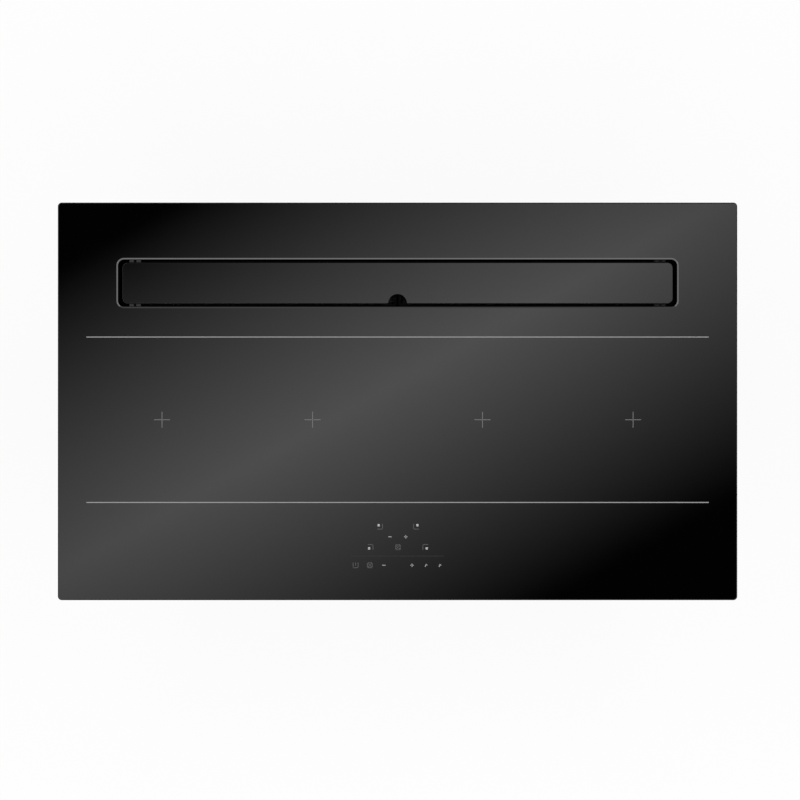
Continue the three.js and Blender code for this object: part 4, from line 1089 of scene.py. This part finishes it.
def panel(low, high, axis, face, out):
    """A panel pressed out to one side of an upright face across an axis, 0 for X or 1 for Y."""
    low, high = Vector(low), Vector(high)
    low[axis], high[axis] = sorted((face - out * PANEL_RISE / 3, face + out * PANEL_RISE))
    raised = slab("panel", low, high)
    ease(raised, PANEL_CORNER, runs(axis), 6)
    rim = PANEL_RISE * NEARLY_ALL
    ease(raised, rim, lambda middle, along: (middle[axis] - face) * out > rim)
    return raised


def port(y):
    """The tool of the air port between the plenum and the blower, in the wall at that place."""
    return slab("port", (-PORT_HALF, y - BEYOND, port_foot), (PORT_HALF, y + BEYOND, port_top))


def every(middle, along):
    """Any edge."""
    return True


low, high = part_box("plenum_box")
drip_low, drip_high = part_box("drip_tray")
plenum = folded_tray("plenum_shell", low, high, PLENUM_CORNER, PLENUM_FOLD, PLENUM_SHEET)
ledge = inwards(DRIP_LEDGE, -BEYOND)
port_top = high.z - PORT_EDGE
port_foot = port_top - PORT_HEIGHT
tools = [block("drip_hole", drip_low + ledge, drip_high - ledge, DRIP_CORNER), port(low.y)]
panels = []
for face, side, spans in ((high.y, 1, REAR_PANELS), (low.y, -1, FRONT_PANELS)):
    for x0, x1 in spans:
        panels.append(panel((x0 * MM, 0, PANEL_FOOT), (x1 * MM, 0, PANEL_TOP), 1, face, side))
y0, y1 = PLENUM_BEAD
tools += [bead(x0 * MM, x1 * MM, y0 * MM, y1 * MM, low.z) for x0, x1 in FRONT_PANELS]
y0, y1 = END_PANEL
for face, side in ((low.x, -1), (high.x, 1)):
    panels.append(panel((0, y0 * MM, PANEL_FOOT), (0, y1 * MM, PANEL_TOP), 0, face, side))
carve(plenum, *tools)
carve(plenum, *panels, operation="UNION")
dress(plenum, "case", "galvanised_steel", galvanised, "plenum_box")
screws = [((x * MM, high.y, SHEET_SCREW_Z), (0, 1, 0)) for x in REAR_SCREWS]
screws += [((x * MM, low.y, SHEET_SCREW_Z), (0, -1, 0)) for x in FRONT_SCREWS]
pan_screws("plenum_screws", screws)

drip = folded_tray("drip_tray_shell", drip_low, drip_high, DRIP_CORNER, DRIP_ROUND, DRIP_WALL, 6)
grips = []
for face in (drip_low.x + GRIP_SINK, drip_high.x - GRIP_SINK):
    for y in row_of(GRIP_RIBS, GRIP_PITCH, (drip_low.y + drip_high.y) / 2):
        middle = Vector((face, y, drip_low.z + GRIP_Z))
        grip = slab("grip", middle - GRIP_HALF, middle + GRIP_HALF)
        ease(grip, GRIP_ROUND, every, 2)
        grips.append(grip)
dress(joined("drip_tray_shell", [drip, *grips]), "drip_tray", "grey_plastic", grey_pp, "drip_tray")

# ---- Blower
# A galvanised box holds a scroll moulded in two halves. In it an external-rotor motor turns a grey
# impeller. Four tabs screw the box to the tray.
BOX_SHEET = 1 * MM
BOX_CORNER = 3 * MM
BOX_FOLD = 2 * MM
TAB_REACH = 12 * MM
TAB_HALF = 20 * MM
TAB_CORNER = 4 * MM
TAB_PLACES = (0.25, 0.75)
TAB_SCREW = 11 * MM
DUCT_FLANGE = 8 * MM
DUCT_LIFT = 4 * MM
DUCT_WALL = 2 * MM
BORE_BEYOND = 20 * MM
BOX_PANEL_FOOT = -192 * MM
BOX_PANELS = ((-172, -6), (6, 172))
BOX_END_PANEL = (-150, 98)
RING_OUTER = 78 * MM
RING_INNER = 70 * MM
BOX_BEADS = ((-170, -158), (-142, -130), (88, 100), (118, 130), (148, 160))
BOX_BEAD_SPAN = (-150, 96)
BOX_SCREWS = (-170, -60, 60, 170)

low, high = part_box("blower_box")
low.x += TAB_REACH
high.x -= TAB_REACH
box = folded_tray("blower_shell", low, high, BOX_CORNER, BOX_FOLD, BOX_SHEET)
collar_low, collar_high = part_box("outlet_collar")
duct_low = collar_low + Vector((0, DUCT_FLANGE, DUCT_LIFT))
duct_high = collar_high - Vector((0, DUCT_FLANGE, DUCT_FLANGE))
bore_low = duct_low + Vector((-BORE_BEYOND, DUCT_WALL, DUCT_WALL))
bore_high = duct_high + Vector((BORE_BEYOND, -DUCT_WALL, -DUCT_WALL))
x, y, z = middle_of("blower_motor")
ring = rod("ring", (x, y, low.z - MM), (x, y, low.z + BEAD_DEPTH), RING_OUTER, sides=96)
carve(ring, rod("core", (x, y, low.z - BEYOND), (x, y, low.z + BEYOND), RING_INNER, sides=96))
y0, y1 = BOX_BEAD_SPAN
beads = [bead(x0 * MM, x1 * MM, y0 * MM, y1 * MM, low.z) for x0, x1 in BOX_BEADS]
carve(box, ring, slab("outlet", bore_low, bore_high), port(high.y), *beads)
y0, y1 = BOX_END_PANEL
panels = [panel((0, y0 * MM, BOX_PANEL_FOOT), (0, y1 * MM, PANEL_TOP), 0, low.x, -1)]
for x0, x1 in BOX_PANELS:
    panels.append(panel((x0 * MM, 0, BOX_PANEL_FOOT), (x1 * MM, 0, PANEL_TOP), 1, low.y, -1))
carve(box, *panels, operation="UNION")
tabs = []
screws = [((x * MM, low.y, SHEET_SCREW_Z), (0, -1, 0)) for x in BOX_SCREWS]
for face, side in ((low.x, -1), (high.x, 1)):
    tip = face + side * TAB_REACH
    x0, x1 = sorted((face - side * BOX_SHEET / 2, tip))
    for share in TAB_PLACES:
        y = low.y + (high.y - low.y) * share
        tab = slab("tab", (x0, y - TAB_HALF, high.z - BOX_SHEET), (x1, y + TAB_HALF, high.z))
        ease(
            tab,
            TAB_CORNER,
            lambda middle, along: upright(middle, along) and abs(middle.x - tip) < MM,
            steps=6,
        )
        tabs.append(tab)
        for step in (-TAB_SCREW, TAB_SCREW):
            screws.append((((face + tip) / 2, y + step, high.z - BOX_SHEET), (0, 0, -1)))
box = joined("blower_shell", [box, *tabs])
dress(box, "case", "galvanised_steel", galvanised, "blower_box")
pan_screws("blower_screws", screws)
repaint(black_abs, "scroll_lower", "scroll_upper")
repaint(galvanised, "blower_motor")
repaint(grey_pp, "impeller")

# Stainless steel bar, drawn: fine lines along its length.
drawn = {"grain": 0.5 * MM, "glossy": 0.2, "matt": 0.36, "stretch": (1, 0.05, 0.05), "relief": 0}
stainless = worked_metal("drawn stainless steel", 0xB9BBBD, **drawn)
repaint(stainless, "motor_shaft", "damper_pin")

# ---- Duct collar and damper
# A flat collar moulded in black ABS takes 220 x 90 mm ducting. Ribs brace it on its flange, a
# raised band grips the duct, and an aluminium flap on a steel pin shuts it when the blower stops.
FLANGE_SHEET = 2 * MM
COLLAR_CORNER = 3 * MM
BAND_FROM_MOUTH = 12 * MM
BAND_WIDTH = 2.4 * MM
BAND_HEIGHT = 0.8 * MM
GUSSETS = 7
GUSSET_REACH = 7 * MM
GUSSET_HALF = 1 * MM
GUSSET_CUT = 6.65 * MM
FLANGE_SCREWS = (0.2, 0.8)
PIN_BORE = 2.3 * MM
LEAF_HALF = 0.6 * MM
LEAF_EASE = 0.36 * MM
LEAF_RIBS = (-186 * MM, -160 * MM, -134 * MM)
LEAF_RIB_INSET = 14 * MM
LEAF_RIB_HALF = 3 * MM
LEAF_RIB_EASE = 0.48 * MM

collar = slab("duct_collar", duct_low, duct_high)
ease(collar, COLLAR_CORNER, runs(0), 5)
flange_x = collar_low.x + FLANGE_SHEET
flange = slab("flange", collar_low, (flange_x, collar_high.y, collar_high.z))
ease(flange, COLLAR_CORNER, runs(0), 4)
band_x = collar_high.x - BAND_FROM_MOUTH
swell = Vector((0, BAND_HEIGHT, BAND_HEIGHT))
band_low = Vector((band_x - BAND_WIDTH, duct_low.y, duct_low.z)) - swell
band = slab("band", band_low, Vector((band_x, duct_high.y, duct_high.z)) + swell)
ease(band, COLLAR_CORNER, runs(0), 5)
ease(band, BAND_HEIGHT * NEARLY_ALL, crosses(0))
carve(collar, flange, band, operation="UNION")
rib_x = flange_x + GUSSET_REACH
rib_z = duct_high.z + GUSSET_REACH
for i in range(GUSSETS):
    y = duct_low.y + (duct_high.y - duct_low.y) * (i + 0.5) / GUSSETS
    rib_low = (collar_low.x + FLANGE_SHEET / 2, y - GUSSET_HALF, duct_high.z - DUCT_WALL / 2)
    gusset = slab("gusset", rib_low, (rib_x, y + GUSSET_HALF, rib_z))
    ease(
        gusset,
        GUSSET_CUT,
        lambda middle, along: middle.x > rib_x - MM and middle.z > rib_z - MM,
        steps=1,
    )
    carve(collar, gusset, operation="UNION")
pin_x, y, pin_z = middle_of("damper_pin")
pin = (pin_x, duct_low.y - MM, pin_z), (pin_x, duct_high.y + MM, pin_z)
carve(collar, slab("bore", bore_low, bore_high), rod("pin_bore", *pin, PIN_BORE, sides=24))
dress(collar, "case", "black_plastic", black_abs, "outlet_collar")
screws = []
for i in range(1, GUSSETS, 2):
    y = duct_low.y + (duct_high.y - duct_low.y) * i / GUSSETS
    screws.append(((flange_x, y, duct_high.z + DUCT_FLANGE / 2), (1, 0, 0)))
for y in (duct_low.y - DUCT_FLANGE / 2, duct_high.y + DUCT_FLANGE / 2):
    for share in FLANGE_SCREWS:
        z = duct_low.z + (duct_high.z - duct_low.z) * share
        screws.append(((flange_x, y, z), (1, 0, 0)))
pan_screws("collar_screws", screws)

low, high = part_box("damper_flap")
leaf = slab("flap_leaf", (pin_x - LEAF_HALF, low.y, low.z), (pin_x + LEAF_HALF, high.y, pin_z))
ease(leaf, LEAF_EASE, crosses(0), 2)
crest = pin_x + 2 * LEAF_HALF
for z in LEAF_RIBS:
    rib_low = (pin_x, low.y + LEAF_RIB_INSET, z - LEAF_RIB_HALF)
    rib = slab("rib", rib_low, (crest, high.y - LEAF_RIB_INSET, z + LEAF_RIB_HALF))
    ease(rib, LEAF_RIB_EASE, lambda middle, along: middle.x > crest - LEAF_HALF / 2, 2)
    carve(leaf, rib, operation="UNION")
ends = (pin_x, low.y, pin_z), (pin_x, high.y, pin_z)
barrel = rod("barrel", *ends, high.z - pin_z, sides=32)
carve(leaf, barrel, operation="UNION")
carve(leaf, rod("barrel_bore", *pin, PIN_BORE, sides=24))
dress(leaf, "damper", "aluminium", aluminium, "damper_flap")

# ---- Mains supply
# A black moulded terminal box under the tray, its lid held by four screws, and a grey nylon cable
# gland in its left side. The gland's dome is given as (radius, height) in millimetres from the
# nut's face.
TERMINAL_CORNER = 4 * MM
TERMINAL_WALL = 2 * MM
TERMINAL_ROUND = 2.5 * MM
LID_HEIGHT = 8 * MM
LID_GROOVE = 0.5 * MM
LID_SCREW_INSET = 8 * MM
GLAND_BORE = 6 * MM
GLAND_BARREL = 9 * MM
BARREL_TOP = 2 * MM
GLAND_PLAY = 0.3 * MM
GLAND_NUT = 12 * MM
GLAND_DOME = ((9, 6), (9.6, 6.4), (9.6, 9), (9.2, 10.6), (8.2, 11.6), (7, 12))
NUT_LENGTH = 6.5 * MM
NUT_SHOULDER = 8.6 * MM
NUT_LEAN = 0.1 * MM
NUT_EASE = 0.6 * MM

low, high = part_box("terminal_box")
terminal = folded_tray("terminal_shell", low, high, TERMINAL_CORNER, TERMINAL_ROUND, TERMINAL_WALL)
around = inwards(MM, LID_GROOVE / 2)
foot, top = (Vector((*corner.xy, low.z + LID_HEIGHT)) for corner in (low, high))
groove = block("groove", foot - around, top + around, TERMINAL_CORNER)
within = inwards(LID_GROOVE, -MM)
carve(groove, block("core", foot + within, top - within, TERMINAL_CORNER - LID_GROOVE))
gland_low, gland_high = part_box("cable_gland")
gland_y, gland_z = middle_of("cable_gland").yz
ends = (low.x - MM, gland_y, gland_z), (low.x + 2 * TERMINAL_WALL, gland_y, gland_z)
carve(terminal, groove, rod("gland_hole", *ends, GLAND_BARREL + GLAND_PLAY))
dress(terminal, "case", "black_plastic", black_abs, "terminal_box")
screws = []
for x in (low.x + LID_SCREW_INSET, high.x - LID_SCREW_INSET):
    for y in (low.y + LID_SCREW_INSET, high.y - LID_SCREW_INSET):
        screws.append(((x, y, low.z), (0, 0, -1)))
pan_screws("terminal_screws", screws)

nut = [(GLAND_NUT, 0), (GLAND_NUT, NUT_LENGTH), (NUT_SHOULDER, NUT_LENGTH + NUT_LEAN)]
gland = turned("gland_nut", nut, sides=6)
ease(gland, NUT_EASE, every, 2)
dome = turned("gland_dome", [(radius * MM, height * MM) for radius, height in GLAND_DOME], sides=36)
length = gland_high.x - gland_low.x
barrel = [(GLAND_BARREL, GLAND_NUT - length), (GLAND_BARREL, BARREL_TOP)]
carve(gland, dome, turned("gland_barrel", barrel, sides=36), operation="UNION")
carve(gland, turned("gland_bore", [(GLAND_BORE, -length), (GLAND_BORE, length)], sides=36))
nut_face = gland_low.x + GLAND_NUT, gland_y, gland_z
gland = set_out("nylon_gland", gland, (nut_face, (-1, 0, 0)))
dress(gland, "case", "grey_plastic", grey_pp, "cable_gland")

# ---- Worktop clamps
# Four stamped arms swing out under the worktop on long hexagon screws, and a jack screw at the tip
# of each presses upwards. All are zinc-plated steel.
THREAD_PITCH = 1 * MM
THREAD_DEPTH = 0.35 * MM
THREAD_RADIUS = 3 * MM
BOLT_HEAD = 3.5 * MM
BOLT_HEX = 6.5 * MM
BOLT_POINT = 2.6 * MM
ARM_SHEET = 2.5 * MM
ARM_WIDTH = 18 * MM
ARM_DROP = 18.5 * MM
BOSS_RADIUS = 7 * MM
BOSS_TOP = 6.4 * MM
BOSS_BORE = 3.3 * MM
NUT_RADIUS = 5.4 * MM
NUT_FACE = 5 * MM
NUT_HEIGHT = 4 * MM
JACK_DISTANCE = 35 * MM
JACK_DROP = 3 * MM
JACK_POINT = 2.5 * MM
JACK_TOP = 2.4 * MM
CLAMP_EASE = 0.5 * MM
CLAMPS = (("front_left", -1), ("front_right", -1), ("rear_left", 1), ("rear_right", 1))
UP = (0, 0, 1)


def thread(z0, z1):
    """The profile of a thread between two heights, for turned()."""
    points = []
    for i in range(round((z1 - z0) / THREAD_PITCH)):
        z = z0 + i * THREAD_PITCH
        points += [(THREAD_RADIUS - THREAD_DEPTH, z), (THREAD_RADIUS, z + THREAD_PITCH / 2)]
    return points


for corner, side_y in CLAMPS:
    low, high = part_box(f"clamp_screw_{corner}")
    x, y = (low.x + high.x) / 2, (low.y + high.y) / 2
    head = low.z + BOLT_HEAD
    rounds = [(BOLT_HEX - CLAMP_EASE, low.z), (BOLT_HEX, low.z + CLAMP_EASE), (BOLT_HEX, head)]
    hexagon = turned("bolt", rounds, sides=6)
    shank = [(THREAD_RADIUS, head - CLAMP_EASE), *thread(head, high.z - MM), (BOLT_POINT, high.z)]
    carve(hexagon, turned("shank", shank, sides=20), operation="UNION")
    bolt = set_out(f"clamp_bolt_{corner}", hexagon, ((x, y, 0), UP))
    dress(bolt, "case", "zinc_steel", zinc, f"clamp_screw_{corner}")

    arm_low, arm_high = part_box(f"clamp_arm_{corner}")
    foot = arm_high.z - ARM_DROP
    tip = y - side_y * JACK_DISTANCE
    top = foot + ARM_SHEET
    ends = Vector((*arm_low.xy, foot)), Vector((*arm_high.xy, top))
    arm = block(f"stamped_arm_{corner}", *ends, ARM_WIDTH * NEARLY_HALF, steps=10)
    ease(arm, CLAMP_EASE, level, 2)
    rounds = [(BOSS_RADIUS, foot + MM), (BOSS_RADIUS, high.z - MM), (BOSS_TOP, high.z)]
    boss = turned("boss", rounds, sides=40)
    jack_top = high.z - JACK_DROP
    turns = thread(arm_low.z + CLAMP_EASE, jack_top - MM)
    jack = turned("jack", [(JACK_POINT, arm_low.z), *turns, (JACK_TOP, jack_top)], sides=20)
    flats = [(NUT_FACE, top - MM), (NUT_RADIUS, top + CLAMP_EASE)]
    flats += [(NUT_RADIUS, top + NUT_HEIGHT - CLAMP_EASE), (NUT_FACE, top + NUT_HEIGHT)]
    nut = turned("nut", flats, sides=6)
    boss = set_out("boss", boss, ((x, y, 0), UP))
    nut = set_out("nut", nut, ((x, tip, 0), UP))
    jack = set_out("jack", jack, ((x, tip, 0), UP))
    carve(arm, boss, nut, jack, operation="UNION")
    carve(arm, rod("boss_bore", (x, y, foot - MM), (x, y, high.z + MM), BOSS_BORE, sides=32))
    dress(arm, f"clamp_{corner}", "zinc_steel", zinc, f"clamp_arm_{corner}")

low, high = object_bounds()
